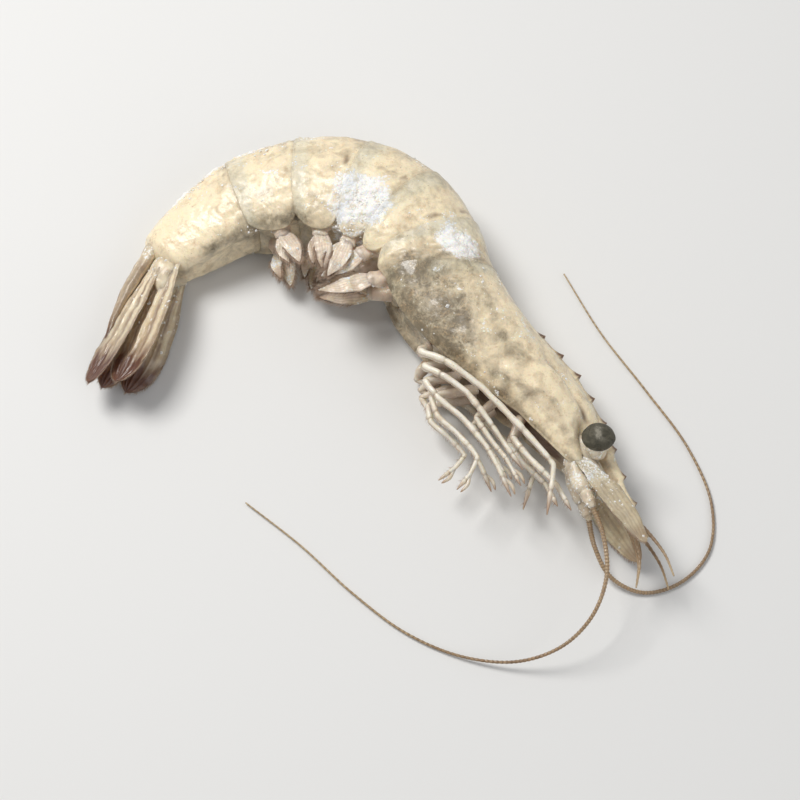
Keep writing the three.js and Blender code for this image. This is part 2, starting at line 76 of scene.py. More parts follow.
class Side(Enum):
    """The shrimp's two sides: the name in the nodes, and the sign of +Z in the frames."""

    RIGHT = ("right", 1.0)
    LEFT = ("left", -1.0)

    @property
    def label(self) -> str:
        """The side's name in the nodes."""
        return self.value[0]

    @property
    def sign(self) -> float:
        """The side's sign along +Z."""
        return self.value[1]

    def mirrored(self, points: Sequence[Point]) -> list[Point]:
        """Points that are given for the right, on this side."""
        return [(f, d, r * self.sign) for f, d, r in points]


# ---------------------------------------------------------------------------------------------
# Curves


def ramp(x: Array | float, low: float, high: float) -> Array:
    """A smooth step from 0 at low to 1 at high."""
    t = np.clip((np.asarray(x, float) - low) / (high - low), 0.0, 1.0)
    return t * t * (3 - 2 * t)


def bell(x: Array | float, centre: Array | float, width: float) -> Array:
    """A rounded bump of height 1 at centre."""
    return np.exp(-(((np.asarray(x, float) - centre) / width) ** 2))


def knots(x: Array, rows: Sequence[Sequence[float]], column: int = 1) -> Array:
    """A smooth curve through rows of knots.

    Args:
        x: Where to read the curve.
        rows: Knots, each with its place first.
        column: Which of a knot's values to follow.

    Returns:
        The curve's values at x, held level outside the knots.
    """
    at = np.array([row[0] for row in rows], float)
    value = np.array([row[column] for row in rows], float)
    i = np.clip(np.searchsorted(at, x, side="right"), 1, len(at) - 1)
    a, b, c, e = np.maximum(i - 2, 0), i - 1, i, np.minimum(i + 1, len(at) - 1)
    span = at[c] - at[b]
    t = np.clip((x - at[b]) / span, 0.0, 1.0)
    slope_in = (value[c] - value[a]) / (at[c] - at[a]) * span
    slope_out = (value[e] - value[b]) / (at[e] - at[b]) * span
    return (
        value[b] * (2 * t**3 - 3 * t**2 + 1)
        + slope_in * (t**3 - 2 * t**2 + t)
        + value[c] * (3 * t**2 - 2 * t**3)
        + slope_out * (t**3 - t**2)
    )


def tapers(t: Array, rows: Sequence[Sequence[float]], column: int = 1) -> Array:
    """Straight tapers between rows of knots."""
    return np.interp(t, [row[0] for row in rows], [row[column] for row in rows])


def unit(v: Array) -> Array:
    """Vectors scaled to length 1."""
    return v / np.maximum(np.linalg.norm(v, axis=-1, keepdims=True), 1e-9)


def waves(points: Array, length: float, seed: int, count: int = 14) -> Array:
    """Smooth seeded unevenness in space.

    Args:
        points: Where to read it, in millimetres.
        length: Typical wave length in millimetres.
        seed: Seed of the waves' directions.
        count: How many waves are summed.

    Returns:
        Values around 0, mostly within -1 and 1.
    """
    rng = np.random.default_rng(seed)
    directions = unit(rng.normal(size=(count, 3)))
    turns = 2 * np.pi / (length * rng.uniform(0.6, 1.6, count))
    phases = rng.uniform(0, 2 * np.pi, count)
    total = np.zeros(points.shape[:-1])
    for direction, turn, phase in zip(directions, turns, phases):
        total += np.sin(points @ direction * turn + phase)
    return total / math.sqrt(count)


class Path:
    """A smooth curve through points, the same that the solids follow."""

    def __init__(self, points: Sequence[Sequence[float]]) -> None:
        """Keeps the points.

        Args:
            points: Points of the curve in its frame, in millimetres.
        """
        self.points = np.asarray(points, float)

    def at(self, t: Array) -> Array:
        """Points of the curve at t from 0 to 1."""
        p = self.points
        padded = np.vstack([2 * p[0] - p[1], p, 2 * p[-1] - p[-2]])
        place = np.clip(t, 0.0, 1.0) * (len(p) - 1)
        i = np.minimum(place.astype(int), len(p) - 2)
        w = (place - i)[:, None]
        p0, p1, p2, p3 = (padded[i + k] for k in range(4))
        d0, d1, d2 = (
            np.sqrt(np.linalg.norm(b - a, axis=1, keepdims=True))
            for a, b in ((p0, p1), (p1, p2), (p2, p3))
        )
        m1 = ((p1 - p0) / d0 - (p2 - p0) / (d0 + d1) + (p2 - p1) / d1) * d1
        m2 = ((p2 - p1) / d1 - (p3 - p1) / (d1 + d2) + (p3 - p2) / d2) * d1
        return (
            p1 * (2 * w**3 - 3 * w**2 + 1)
            + m1 * (w**3 - 2 * w**2 + w)
            + p2 * (3 * w**2 - 2 * w**3)
            + m2 * (w**3 - w**2)
        )

    def straightened(self, t: Array, share: float) -> Array:
        """Points of the curve drawn towards its straight links by share."""
        place = np.clip(t, 0.0, 1.0) * (len(self.points) - 1)
        index = np.arange(len(self.points))
        links = np.stack([np.interp(place, index, self.points[:, k]) for k in range(3)], -1)
        return self.at(t) * (1 - share) + links * share

    def length(self) -> float:
        """Length of the curve in millimetres."""
        return float(np.linalg.norm(np.diff(self.at(np.linspace(0, 1, 200)), axis=0), axis=1).sum())


# ---------------------------------------------------------------------------------------------
# Meshes


@dataclass
class Shape:
    """Points, faces and values carried by the points, in millimetres."""

    points: Array
    quads: Array
    triangles: Array
    values: Values = field(default_factory=dict)

    @staticmethod
    def around(rows: Array, values: Values | None = None) -> "Shape":
        """A closed skin over rings of points, with a fan over each end.

        Args:
            rows: Points as (ring, side, 3).
            values: Values as (ring, side).

        Returns:
            The skin, with its faces turned outwards.
        """
        count, sides = rows.shape[:2]
        index = np.arange(count * sides).reshape(count, sides)
        after = np.roll(index, -1, axis=1)
        quads = np.stack([index[:-1], after[:-1], after[1:], index[1:]], -1).reshape(-1, 4)
        near, far = np.full(sides, count * sides), np.full(sides, count * sides + 1)
        fans = np.vstack(
            [np.stack([near, after[0], index[0]], -1), np.stack([far, index[-1], after[-1]], -1)]
        )
        ends = np.stack([rows[0].mean(axis=0), rows[-1].mean(axis=0)])
        carried = {
            key: np.append(value.reshape(-1), [value[0].mean(), value[-1].mean()])
            for key, value in (values or {}).items()
        }
        shape = Shape(np.vstack([rows.reshape(-1, 3), ends]), quads, fans, carried)
        return shape if shape.volume() > 0 else shape.turned()

    def _corners(self) -> tuple[Array, list[Array]]:
        """The faces as triangles: the indices of their corners, and where these lie."""
        corners = np.vstack([self.quads[:, [0, 1, 2]], self.quads[:, [0, 2, 3]], self.triangles])
        return corners, [self.points[corners[:, k]] for k in range(3)]

    def scattered(self, rng: np.random.Generator, count: int, key: str) -> tuple[Array, Array]:
        """Random places on the faces, most of them where a value is high.

        Args:
            rng: The seeded source of the draws.
            count: How many places.
            key: The value that draws them.

        Returns:
            The places, and the directions that their faces look in.
        """
        corners, (a, b, c) = self._corners()
        cross = np.cross(b - a, c - a)
        weight = np.linalg.norm(cross, axis=1) * self.values[key][corners].mean(axis=1) ** 3
        picked = rng.choice(len(corners), count, p=weight / weight.sum())
        u, v = rng.uniform(size=(2, count, 1))
        over = u + v > 1
        u, v = np.where(over, 1 - u, u), np.where(over, 1 - v, v)
        return a[picked] + (b - a)[picked] * u + (c - a)[picked] * v, unit(cross[picked])

    def volume(self) -> float:
        """Signed volume of a closed skin, positive when its faces look outwards."""
        _, (a, b, c) = self._corners()
        return float((a * np.cross(b, c)).sum() / 6)

    def turned(self) -> "Shape":
        """The same skin with its faces turned round."""
        return Shape(self.points, self.quads[:, ::-1], self.triangles[:, ::-1], self.values)

    @staticmethod
    def joined(shapes: Sequence["Shape"]) -> "Shape":
        """Several shapes as one; a value that one of them lacks is 0 there."""
        starts = np.cumsum([0] + [len(shape.points) for shape in shapes])
        keys = sorted({key for shape in shapes for key in shape.values})
        return Shape(
            np.vstack([shape.points for shape in shapes]),
            np.vstack([shape.quads + start for shape, start in zip(shapes, starts)]),
            np.vstack([shape.triangles + start for shape, start in zip(shapes, starts)]),
            {
                key: np.concatenate(
                    [shape.values.get(key, np.zeros(len(shape.points))) for shape in shapes]
                )
                for key in keys
            },
        )


def make_piece(
    name: str,
    shapes: Sequence[Shape],
    material: bpy.types.Material,
    nodes: Sequence[str] = (),
    smooth: bool = True,
) -> None:
    """Makes one piece of the shrimp, riding on its body.

    Args:
        name: The piece's name.
        shapes: What it is made of, in the part's frame, in millimetres.
        material: Its finish.
        nodes: The solids that it stands for.
        smooth: Whether its faces blend into each other.
    """
    whole = Shape.joined(shapes)
    mesh = bpy.data.meshes.new(name)
    mesh.from_pydata(
        (whole.points * MM).tolist(), [], whole.quads.tolist() + whole.triangles.tolist()
    )
    mesh.polygons.foreach_set("use_smooth", np.full(len(mesh.polygons), smooth))
    for key, value in whole.values.items():
        mesh.attributes.new(key, "FLOAT", "POINT").data.foreach_set(
            "value", np.clip(value, 0.0, 1.0).astype(np.float32)
        )
    mesh.materials.append(material)
    mesh.update()
    piece = bpy.data.objects.new(name, mesh)
    bpy.context.scene.collection.objects.link(piece)
    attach(piece, BODY)
    if nodes:
        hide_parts(*nodes)
    LOG.info("%s: %d points", name, len(whole.points))


# ---------------------------------------------------------------------------------------------
# The body's own coordinates


@dataclass(frozen=True)
class Ring:
    """One abdominal ring: its length along the midline, and the bend at its front joint."""

    length: float
    bend: float


@dataclass(frozen=True)
class Placing:
    """A limb's frame in the part: its origin, and the turn about +Z of its +X axis."""

    origin: Array
    turn: float

    def out(self, points: Array) -> Array:
        """Points or grids of points of the frame, in the part's own."""
        cos, sin = math.cos(self.turn), math.sin(self.turn)
        x, y, z = points[..., 0], points[..., 1], points[..., 2]
        return np.stack([x * cos - y * sin, x * sin + y * cos, z], -1) + self.origin

    def placed(self, shape: Shape) -> Shape:
        """A shape of the frame, in the part's own, kept above the floor."""
        points = self.out(shape.points)
        points[:, 2] = np.maximum(points[:, 2], FLOOR_GAP)
        return Shape(points, shape.quads, shape.triangles, shape.values)


@dataclass
class BodySpace:
    """Where the curled body lies. The sizes are those of the solids."""

    origin: tuple[float, float] = (7.62376, 17.13087)
    head_heading: float = 127.0
    bend_spread: float = 10.0
    tail_bend: float = 30.0
    rings: tuple[Ring, ...] = (
        Ring(8.8, -17),
        Ring(8.0, 15),
        Ring(8.9, 27),
        Ring(9.8, 23),
        Ring(10.3, 19),
        Ring(15.8, 20),
    )
    # s, extent above the midline, extent below it, half the width, height over the floor
    stations: tuple[tuple[float, ...], ...] = (
        (-41, 3.8, 2.6, 3.1, 8.5),
        (-37, 5.6, 3.7, 4.7, 8.5),
        (-29, 7.5, 5.2, 6.7, 8.5),
        (-20, 8.0, 7.2, 8.2, 8.5),
        (-11, 8.4, 9.8, 8.8, 8.5),
        (-3, 9.3, 11.0, 8.9, 8.65),
        (5, 10.1, 10.6, 8.9, 8.8),
        (16, 10.8, 10.6, 8.8, 8.7),
        (27, 10.8, 10.4, 8.4, 8.4),
        (38, 9.9, 9.2, 7.6, 7.6),
        (48, 8.6, 7.6, 6.4, 6.5),
        (57, 7.0, 6.0, 5.1, 5.3),
        (62.5, 5.5, 4.8, 4.3, 4.6),
        (86, 4.8, 4.2, 3.8, 4.4),
    )
    step: float = 0.25
    reach: tuple[float, float] = (-70.0, 100.0)
    groove_depth: float = 0.5
    lobe: float = 4.6
    notch: float = 2.6
    orbit: float = 4.6
    front: float = -40.0

    def __post_init__(self) -> None:
        """Traces the midline as a table of points."""
        self.joints = np.cumsum([0.0] + [ring.length for ring in self.rings])
        self.table = np.arange(self.reach[0], self.reach[1] + self.step / 2, self.step)
        headings = self.heading(self.table[:-1] + self.step / 2)
        self.line = np.zeros((len(self.table), 2))
        self.line[1:, 0] = np.cumsum(np.cos(headings)) * self.step
        self.line[1:, 1] = np.cumsum(np.sin(headings)) * self.step
        self.line -= self.line[np.argmin(np.abs(self.table))]

    def heading(self, s: Array | float) -> Array:
        """Heading of the midline at s, in radians from +X, towards the tail."""
        total = np.full(np.shape(s), self.head_heading, float)
        spread = self.bend_spread / 2
        for bend, joint in zip([ring.bend for ring in self.rings] + [self.tail_bend], self.joints):
            total += bend * ramp(s, joint - spread, joint + spread)
        return np.radians(total)

    def profile(self, column: int, s: Array | float) -> Array:
        """One of the stations' columns at s: 1 up, 2 down, 3 half width, 4 height."""
        return knots(np.asarray(s, float), self.stations, column)

    def place(self, s: Array, d: Array, r: Array) -> Array:
        """The part's point at s, moved by d towards the back and by r to the right."""
        x = np.interp(s, self.table, self.line[:, 0]) + self.origin[0]
        y = np.interp(s, self.table, self.line[:, 1]) + self.origin[1]
        angle = self.heading(s)
        return np.stack(
            [x + d * np.sin(angle), y - d * np.cos(angle), self.profile(4, s) + r], -1
        )

    def swell(self, s: Array) -> Array:
        """How far a ring's side plates stand out at s: not at all at the joints."""
        total = np.zeros_like(s)
        for start, ring in zip(self.joints, self.rings[:-1]):
            share = (s - start) / ring.length
            inside = (share > 0) & (share < 1)
            total += np.where(inside, np.sin(np.pi * np.clip(share, 0, 1)) ** 1.5, 0)
        return total

    def groove(self, s: Array, degrees: Array) -> Array:
        """Depth of the furrow over the head shield behind the cheeks."""
        line = -25 + 7 * ramp(degrees, 20, 95) - 9 * ramp(degrees, 95, 150)
        return self.groove_depth * bell(s, line, 2.2) * ramp(degrees, 12, 32)

    def section(self, s: Array, angle: Array, offset: Array | float) -> tuple[Array, Array]:
        """The body's skin at s and angle, moved outwards by offset, as (d, r)."""
        cos, sin = np.cos(angle), np.sin(angle)
        degrees = np.abs(np.degrees(angle))
        power = np.where(cos > 0, 0.92, 0.78)
        depth = np.where(cos > 0, self.profile(1, s), self.profile(2, s))
        belly = 1 - 0.22 * bell(degrees, 180, 28)
        plates = 1 + 0.1 * self.swell(s) * bell(degrees, 142, 24)
        d = np.sign(cos) * np.abs(cos) ** power * depth * belly * plates
        r = np.sign(sin) * np.abs(sin) ** power * self.profile(3, s) * plates
        keel = 0.45 * ramp(s, 30, 45) * bell(degrees, 0, 10)
        stretch = 1 + (offset + keel - self.groove(s, degrees)) / np.hypot(d, r)
        return d * stretch, r * stretch

    def edge_shift(self, s: Array, angle: Array) -> Array:
        """How far rims reach back on the flanks, and the face is cut away at the eyes."""
        degrees = np.abs(np.degrees(angle))
        shield = self.lobe * bell(degrees, 122, 46) - self.notch * bell(degrees, 0, 50)
        orbit = self.orbit * bell(degrees, 58, 30) * bell(s, self.front, 5)
        ring = 1.1 * bell(degrees, 115, 42) - 0.5 * bell(degrees, 0, 40)
        return orbit + shield * bell(s, 0, 6.5) + ring * ramp(s, 4, 12) * (1 - ramp(s, 56, 66))

    def skin(self, s: Array, angle: Array, offset: Array | float) -> Array:
        """Points of the skin, kept above the floor."""
        d, r = self.section(s, angle, offset)
        points = self.place(s + self.edge_shift(s, angle), d, r)
        points[..., 2] = np.maximum(points[..., 2], 0.0)
        return points

    def placing(self, s: float, ahead: float = 0.0) -> Placing:
        """A limb's frame with its origin on the midline, ahead of s along a straight line."""
        angle = float(self.heading(s))
        at = self.place(np.array(s), np.array(0.0), np.array(0.0))
        at = at - ahead * np.array([math.cos(angle), math.sin(angle), 0.0])
        return Placing(at, angle + math.pi)


# ---------------------------------------------------------------------------------------------
# Shader graphs and the effects that the finishes share


class Graph:
    """Adds nodes to a node tree. An input may be a constant or another node's output."""

    def __init__(self, tree: bpy.types.NodeTree) -> None:
        """Keeps the tree.

        Args:
            tree: The material's or group's node tree.
        """
        self.tree = tree

    def add(self, kind: str, inputs: dict | None = None, **settings: object) -> bpy.types.Node:
        """Adds a node.

        Args:
            kind: The node's type.
            inputs: Inputs by name or index.
            **settings: The node's own settings.

        Returns:
            The node.
        """
        node = self.tree.nodes.new(kind)
        for key, value in settings.items():
            setattr(node, key, value)
        for key, value in (inputs or {}).items():
            self.feed(node.inputs[key], value)
        return node

    def feed(self, socket: bpy.types.NodeSocket, value: object) -> None:
        """Sets a socket to a constant, or links an output to it."""
        if isinstance(value, bpy.types.NodeSocket):
            self.tree.links.new(value, socket)
        elif isinstance(value, tuple) and socket.type == "RGBA" and len(value) == 3:
            socket.default_value = (*value, 1.0)
        elif isinstance(value, float) and socket.type == "VECTOR":
            socket.default_value = (value,) * 3
        else:
            socket.default_value = value

    def calc(self, operation: str, a: object, b: object = 0.0, clamp: bool = False) -> object:
        """One arithmetic step."""
        node = self.add("ShaderNodeMath", {0: a, 1: b}, operation=operation, use_clamp=clamp)
        return node.outputs[0]

    def plus(self, a: object, b: object, clamp: bool = False) -> object:
        """A sum."""
        return self.calc("ADD", a, b, clamp)

    def minus(self, a: object, b: object) -> object:
        """A difference."""
        return self.calc("SUBTRACT", a, b)

    def times(self, a: object, b: object, clamp: bool = False) -> object:
        """A product."""
        return self.calc("MULTIPLY", a, b, clamp)

    def centred(self, value: object, by: float) -> object:
        """A value around 0 times a number, raised to lie around a half."""
        inputs = {0: value, 1: by, 2: 0.5}
        return self.add("ShaderNodeMath", inputs, operation="MULTIPLY_ADD").outputs[0]

    def blend(self, share: object, a: object, b: object) -> object:
        """Blends two colours."""
        return self.add("ShaderNodeMix", {0: share, 6: a, 7: b}, data_type="RGBA").outputs[2]

    def bump(self, strength: float, distance: float, height: object) -> object:
        """A normal bent by a height."""
        inputs = {"Strength": strength, "Distance": distance, "Height": height}
        return self.add("ShaderNodeBump", inputs).outputs[0]

    def group(self, tree: bpy.types.NodeTree, **inputs: object) -> bpy.types.Node:
        """Places a shared effect with its own values."""
        return self.add("ShaderNodeGroup", inputs, node_tree=tree)

    def lerp(self, share: object, a: object, b: object) -> object:
        """Blends two numbers."""
        return self.add("ShaderNodeMix", {0: share, 2: a, 3: b}, data_type="FLOAT").outputs[0]

    def remap(self, value: object, low: float, high: float, to: tuple = (0.0, 1.0)) -> object:
        """A smooth step of value from low to high."""
        inputs = {"Value": value, 1: low, 2: high, 3: to[0], 4: to[1]}
        node = self.add("ShaderNodeMapRange", inputs, interpolation_type="SMOOTHSTEP")
        return node.outputs[0]

    def carried(self, name: str) -> object:
        """A value that the mesh's points carry."""
        return self.add("ShaderNodeAttribute", attribute_name=name).outputs["Fac"]


class Effects:
    """The shader groups that the finishes share, each made once."""

    def __init__(self) -> None:
        """Builds every group."""
        self.mottling = self._mottling()
        self.specks = self._specks()
        self.frost = self._frost()
        self.rings = self._rings()

    @staticmethod
    def _group(
        name: str, inputs: dict[str, float], outputs: Sequence[str]
    ) -> tuple[bpy.types.NodeTree, Graph, bpy.types.Node, bpy.types.Node]:
        """Starts a group.

        Args:
            name: The group's name.
            inputs: Its number inputs, with what each is unless set.
            outputs: Its number outputs.

        Returns:
            The group, a graph to fill it with, and its input and output nodes.
        """
        tree = bpy.data.node_groups.new(name, "ShaderNodeTree")
        for key, value in inputs.items():
            socket = tree.interface.new_socket(key, in_out="INPUT", socket_type="NodeSocketFloat")
            socket.default_value = value
        for key in outputs:
            tree.interface.new_socket(key, in_out="OUTPUT", socket_type="NodeSocketFloat")
        graph = Graph(tree)
        return tree, graph, graph.add("NodeGroupInput"), graph.add("NodeGroupOutput")

    @staticmethod
    def _spot(graph: Graph, size: object, shift: object) -> tuple[object, object]:
        """Coordinates of the part shifted by a number, and the scale for a size in millimetres."""
        place = graph.add("ShaderNodeTexCoord").outputs["Object"]
        moved = graph.add("ShaderNodeVectorMath", {0: place, 1: shift}, operation="ADD")
        return moved.outputs[0], graph.calc("DIVIDE", 1.0 / MM, size)

    def _mottling(self) -> bpy.types.NodeTree:
        """Cloudy unevenness of colour. Size is in millimetres."""
        tree, g, given, made = self._group(
            "mottling", {"Size": 4.0, "Detail": 4.0, "Swirl": 0.5, "Shift": 0.0}, ["Value"]
        )
        where, scale = self._spot(g, given.outputs["Size"], given.outputs["Shift"])
        noise = g.add(
            "ShaderNodeTexNoise",
            {
                "Vector": where,
                "Scale": scale,
                "Detail": given.outputs["Detail"],
                "Roughness": 0.62,
                "Distortion": given.outputs["Swirl"],
            },
        )
        spread = g.times(g.minus(noise.outputs[0], 0.5), 2.6)
        g.feed(made.inputs["Value"], spread)
        return tree

    def _specks(self) -> bpy.types.NodeTree:
        """Small scattered dots. Share is how many of the cells hold one."""
        tree, g, given, made = self._group(
            "specks", {"Size": 0.8, "Share": 0.3, "Dot": 0.25, "Shift": 0.0}, ["Mask"]
        )
        where, scale = self._spot(g, given.outputs["Size"], given.outputs["Shift"])
        cells = g.add("ShaderNodeTexVoronoi", {"Vector": where, "Scale": scale})
        picked = g.add("ShaderNodeSeparateColor", {0: cells.outputs["Color"]})
        chosen = g.calc("LESS_THAN", picked.outputs[0], given.outputs["Share"])
        radius = g.times(picked.outputs[1], given.outputs["Dot"])
        inside = g.minus(radius, cells.outputs["Distance"])
        soft = g.times(inside, 9.0, clamp=True)
        g.feed(made.inputs["Mask"], g.times(soft, chosen))
        return tree

    def _frost(self) -> bpy.types.NodeTree:
        """Frost: a broken veil where its cover is thin, a crust of grains where it is thick."""
        tree, g, given, made = self._group(
            "frost", {"Cover": 0.5, "Size": 0.5, "Shift": 0.0}, ["Mask", "Crust", "Height"]
        )
        where, scale = self._spot(g, given.outputs["Size"], given.outputs["Shift"])
        grains = g.add("ShaderNodeTexVoronoi", {"Vector": where, "Scale": scale})
        large = g.times(scale, 0.15)
        cloud = g.add(
            "ShaderNodeTexNoise",
            {"Vector": where, "Scale": large, "Detail": 8.0, "Roughness": 0.68, "Distortion": 0.8},
        )
        drift = g.times(g.minus(cloud.outputs[0], 0.5), 2.6)
        present = g.remap(given.outputs["Cover"], 0.0, 0.15)
        field = g.plus(given.outputs["Cover"], g.times(drift, present))
        veil = g.times(g.remap(field, 0.32, 0.95), 0.62)
        dome = g.minus(0.5, grains.outputs["Distance"])
        crust = g.remap(g.plus(field, g.times(dome, 0.6)), 0.70, 0.92)
        mask = g.calc("MAXIMUM", veil, crust)
        height = g.times(crust, g.plus(dome, 0.6))
        g.feed(made.inputs["Mask"], mask)
        g.feed(made.inputs["Crust"], crust)
        g.feed(made.inputs["Height"], g.plus(height, g.times(veil, 0.4)))
        return tree

    def _rings(self) -> bpy.types.NodeTree:
        """Bands across a value that runs from 0 to 1, with a wobble."""
        tree, g, given, made = self._group(
            "bands", {"Along": 0.0, "Count": 10.0, "Wobble": 0.2, "Width": 0.5}, ["Mask"]
        )
        where, scale = self._spot(g, 2.5, 3.0)
        noise = g.add("ShaderNodeTexNoise", {"Vector": where, "Scale": scale, "Detail": 2.0})
        drift = g.times(g.minus(noise.outputs[0], 0.5), given.outputs["Wobble"])
        turns = g.plus(g.times(given.outputs["Along"], given.outputs["Count"]), drift)
        wave = g.calc("SINE", g.times(turns, 2 * math.pi))
        level = g.plus(g.times(wave, 0.5), given.outputs["Width"])
        g.feed(made.inputs["Mask"], g.remap(level, 0.35, 0.85))
        return tree

    def mottled(self, graph: Graph, **inputs: float) -> object:
        """The mottling, placed in a graph with its own values."""
        return graph.group(self.mottling, **inputs).outputs[0]


# ---------------------------------------------------------------------------------------------
# Finishes


@dataclass(frozen=True)
class Finish:
    """A material by name. Each kind says what its surface is."""

    name: str

    def surface(self, g: Graph, effects: Effects) -> dict[str, object]:
        """The shader's inputs.

        Args:
            g: The material's graph.
            effects: The shared effects.

        Returns:
            Constants and outputs for the Principled shader, by name.
        """
        raise NotImplementedError

    def make(self, effects: Effects) -> bpy.types.Material:
        """Builds the material.

        Args:
            effects: The shared effects.

        Returns:
            The material.
        """
        material = bpy.data.materials.new(self.name)
        material.use_nodes = True
        material.node_tree.nodes.clear()
        g = Graph(material.node_tree)
        shader = g.add("ShaderNodeBsdfPrincipled", self.surface(g, effects))
        out = g.add("ShaderNodeOutputMaterial")
        g.feed(out.inputs[0], shader.outputs[0])
        return material


@dataclass(frozen=True)
class Flesh(Finish):
    """Thin shell over flesh. What varies over it is carried by the mesh's points.

    The points carry tone (0 deep, 1 pale), stain, rim, ice, along and across, from 0 to 1.
    """

    deep: Colour
    pale: Colour
    warm: Colour
    stain: Colour
    seam: Colour = (0.13, 0.085, 0.05)
    veil: Colour = (0.90, 0.795, 0.57)
    ice: Colour = (0.94, 0.925, 0.885)
    mottle: float = 0.50
    warmth: float = 0.5
    curls: float = 0.0
    speck_share: float = 0.34
    speck: Colour = (0.27, 0.20, 0.13)
    bands_along: float = 0.0
    bands_across: float = 0.0
    band_depth: float = 0.0
    roughness: float = 0.44
    coat: float = 0.5
    bump: float = 0.4
    bump_height: float = 0.00016
    translucence: float = 0.32
    depth: float = 0.002

    def surface(self, g: Graph, effects: Effects) -> dict[str, object]:
        """Mottled flesh under shell, with its bands, stains, seams, dots and frost."""
        clouds = effects.mottled(g, Size=6.5, Detail=3.0)
        blots = effects.mottled(g, Size=2.3, Detail=5.0, Swirl=0.5, Shift=0.031)
        fine = effects.mottled(g, Size=0.42, Detail=3.0, Shift=0.057)
        smudges = effects.mottled(g, Size=3.4, Swirl=1.2, Shift=0.077)
        uneven = g.plus(g.plus(g.times(clouds, 0.7), blots), g.times(fine, 0.3))
        tone = g.plus(g.carried("tone"), g.times(uneven, self.mottle), clamp=True)
        colour = g.blend(tone, self.deep, self.pale)
        curls = g.remap(g.calc("ABSOLUTE", smudges), 0.02, 0.26, (1.0, 0.0))
        curls = g.times(curls, g.remap(clouds, -0.4, 0.5))
        colour = g.blend(g.times(curls, self.curls), colour, self.pale)
        warmth = g.remap(g.plus(smudges, fine), -0.05, 0.9)
        colour = g.blend(g.times(warmth, self.warmth), colour, self.warm)
        colour = self._banded(g, effects, colour)
        worn = g.centred(blots, 0.25)
        stain = g.times(g.carried("stain"), g.plus(worn, 1.0), clamp=True)
        colour = g.blend(stain, colour, self.stain)
        broken = g.remap(fine, -0.7, 0.5, (0.35, 1.0))
        colour = g.blend(g.times(g.carried("rim"), broken), colour, self.seam)
        dots = g.group(effects.specks, Size=0.6, Share=self.speck_share)
        colour = g.blend(g.times(dots.outputs[0], 0.55), colour, self.speck)
        ice = g.carried("ice")
        frost = g.group(effects.frost, Cover=ice).outputs
        colour = g.blend(
            frost["Mask"], colour, g.blend(g.remap(ice, 0.45, 0.95), self.veil, self.ice)
        )
        colour = g.blend(frost["Crust"], colour, self.ice)
        pool = g.remap(effects.mottled(g, Size=5.0, Detail=3.0, Shift=0.113), -0.3, 0.7)
        rough = g.minus(g.plus(g.times(fine, 0.12), self.roughness), g.times(pool, 0.10))
        wet = g.times(g.centred(pool, 0.7), self.coat)
        height = g.plus(g.times(fine, 0.5), blots)
        height = g.plus(height, g.times(frost["Height"], 2.2))
        return {
            "Base Color": colour,
            "Roughness": g.lerp(frost["Crust"], rough, 0.72),
            "Normal": g.bump(self.bump, self.bump_height, height),
            "IOR": 1.42,
            "Subsurface Weight": self.translucence,
            "Subsurface Radius": (1.0, 0.72, 0.45),
            "Subsurface Scale": self.depth,
            "Coat Weight": g.lerp(frost["Crust"], wet, 0.04),
            "Coat Roughness": 0.15,
        }

    def _banded(self, g: Graph, effects: Effects, colour: object) -> object:
        """Lays bands along or across the form over the colour."""
        for key, count in (("along", self.bands_along), ("across", self.bands_across)):
            if count:
                bands = g.group(effects.rings, Along=g.carried(key), Count=count, Wobble=0.5)
                colour = g.blend(g.times(bands.outputs[0], self.band_depth), colour, self.stain)
        return colour


@dataclass(frozen=True)
class Cornea(Finish):
    """The eye's dark, faceted and lightly frosted skin."""

    dark: Colour = (0.045, 0.042, 0.030)
    haze: Colour = (0.155, 0.140, 0.100)
    frosted: Colour = (0.42, 0.39, 0.32)
    facet: float = 0.16

    def surface(self, g: Graph, effects: Effects) -> dict[str, object]:
        """A dark haze over facets, with patches of frost."""
        clouds = effects.mottled(g, Size=1.3, Swirl=1.5, Shift=0.011)
        colour = g.blend(g.remap(clouds, -0.6, 0.9, (0.12, 0.85)), self.dark, self.haze)
        frost = g.group(effects.frost, Cover=g.carried("ice"), Size=0.35).outputs
        where = g.add("ShaderNodeTexCoord").outputs["Object"]
        facets = g.add("ShaderNodeTexVoronoi", {"Vector": where, "Scale": 1 / MM / self.facet})
        height = g.minus(frost["Height"], facets.outputs["Distance"])
        return {
            "Base Color": g.blend(g.times(frost["Mask"], 0.6), colour, self.frosted),
            "Roughness": g.lerp(frost["Mask"], 0.62, 0.85),
            "Normal": g.bump(0.7, 0.00012, height),
            "Specular IOR Level": 0.3,
        }


@dataclass(frozen=True)
class Grain(Finish):
    """A small uneven finish for frost grains and bristles."""

    light: Colour
    dark: Colour
    roughness: float
    translucence: float = 0.1
    size: float = 0.6

    def surface(self, g: Graph, effects: Effects) -> dict[str, object]:
        """Light and dark grains, by the tone that each carries."""
        clouds = effects.mottled(g, Size=self.size, Shift=0.023)
        share = g.remap(g.plus(clouds, g.carried("tone")), -0.4, 1.2)
        return {
            "Base Color": g.blend(share, self.dark, self.light),
            "Roughness": g.plus(g.centred(clouds, 0.08), self.roughness),
            "Normal": g.bump(0.3, 0.00005, clouds),
            "Subsurface Weight": self.translucence,
            "Subsurface Radius": (1.0, 0.9, 0.8),
            "Subsurface Scale": 0.0006,
        }


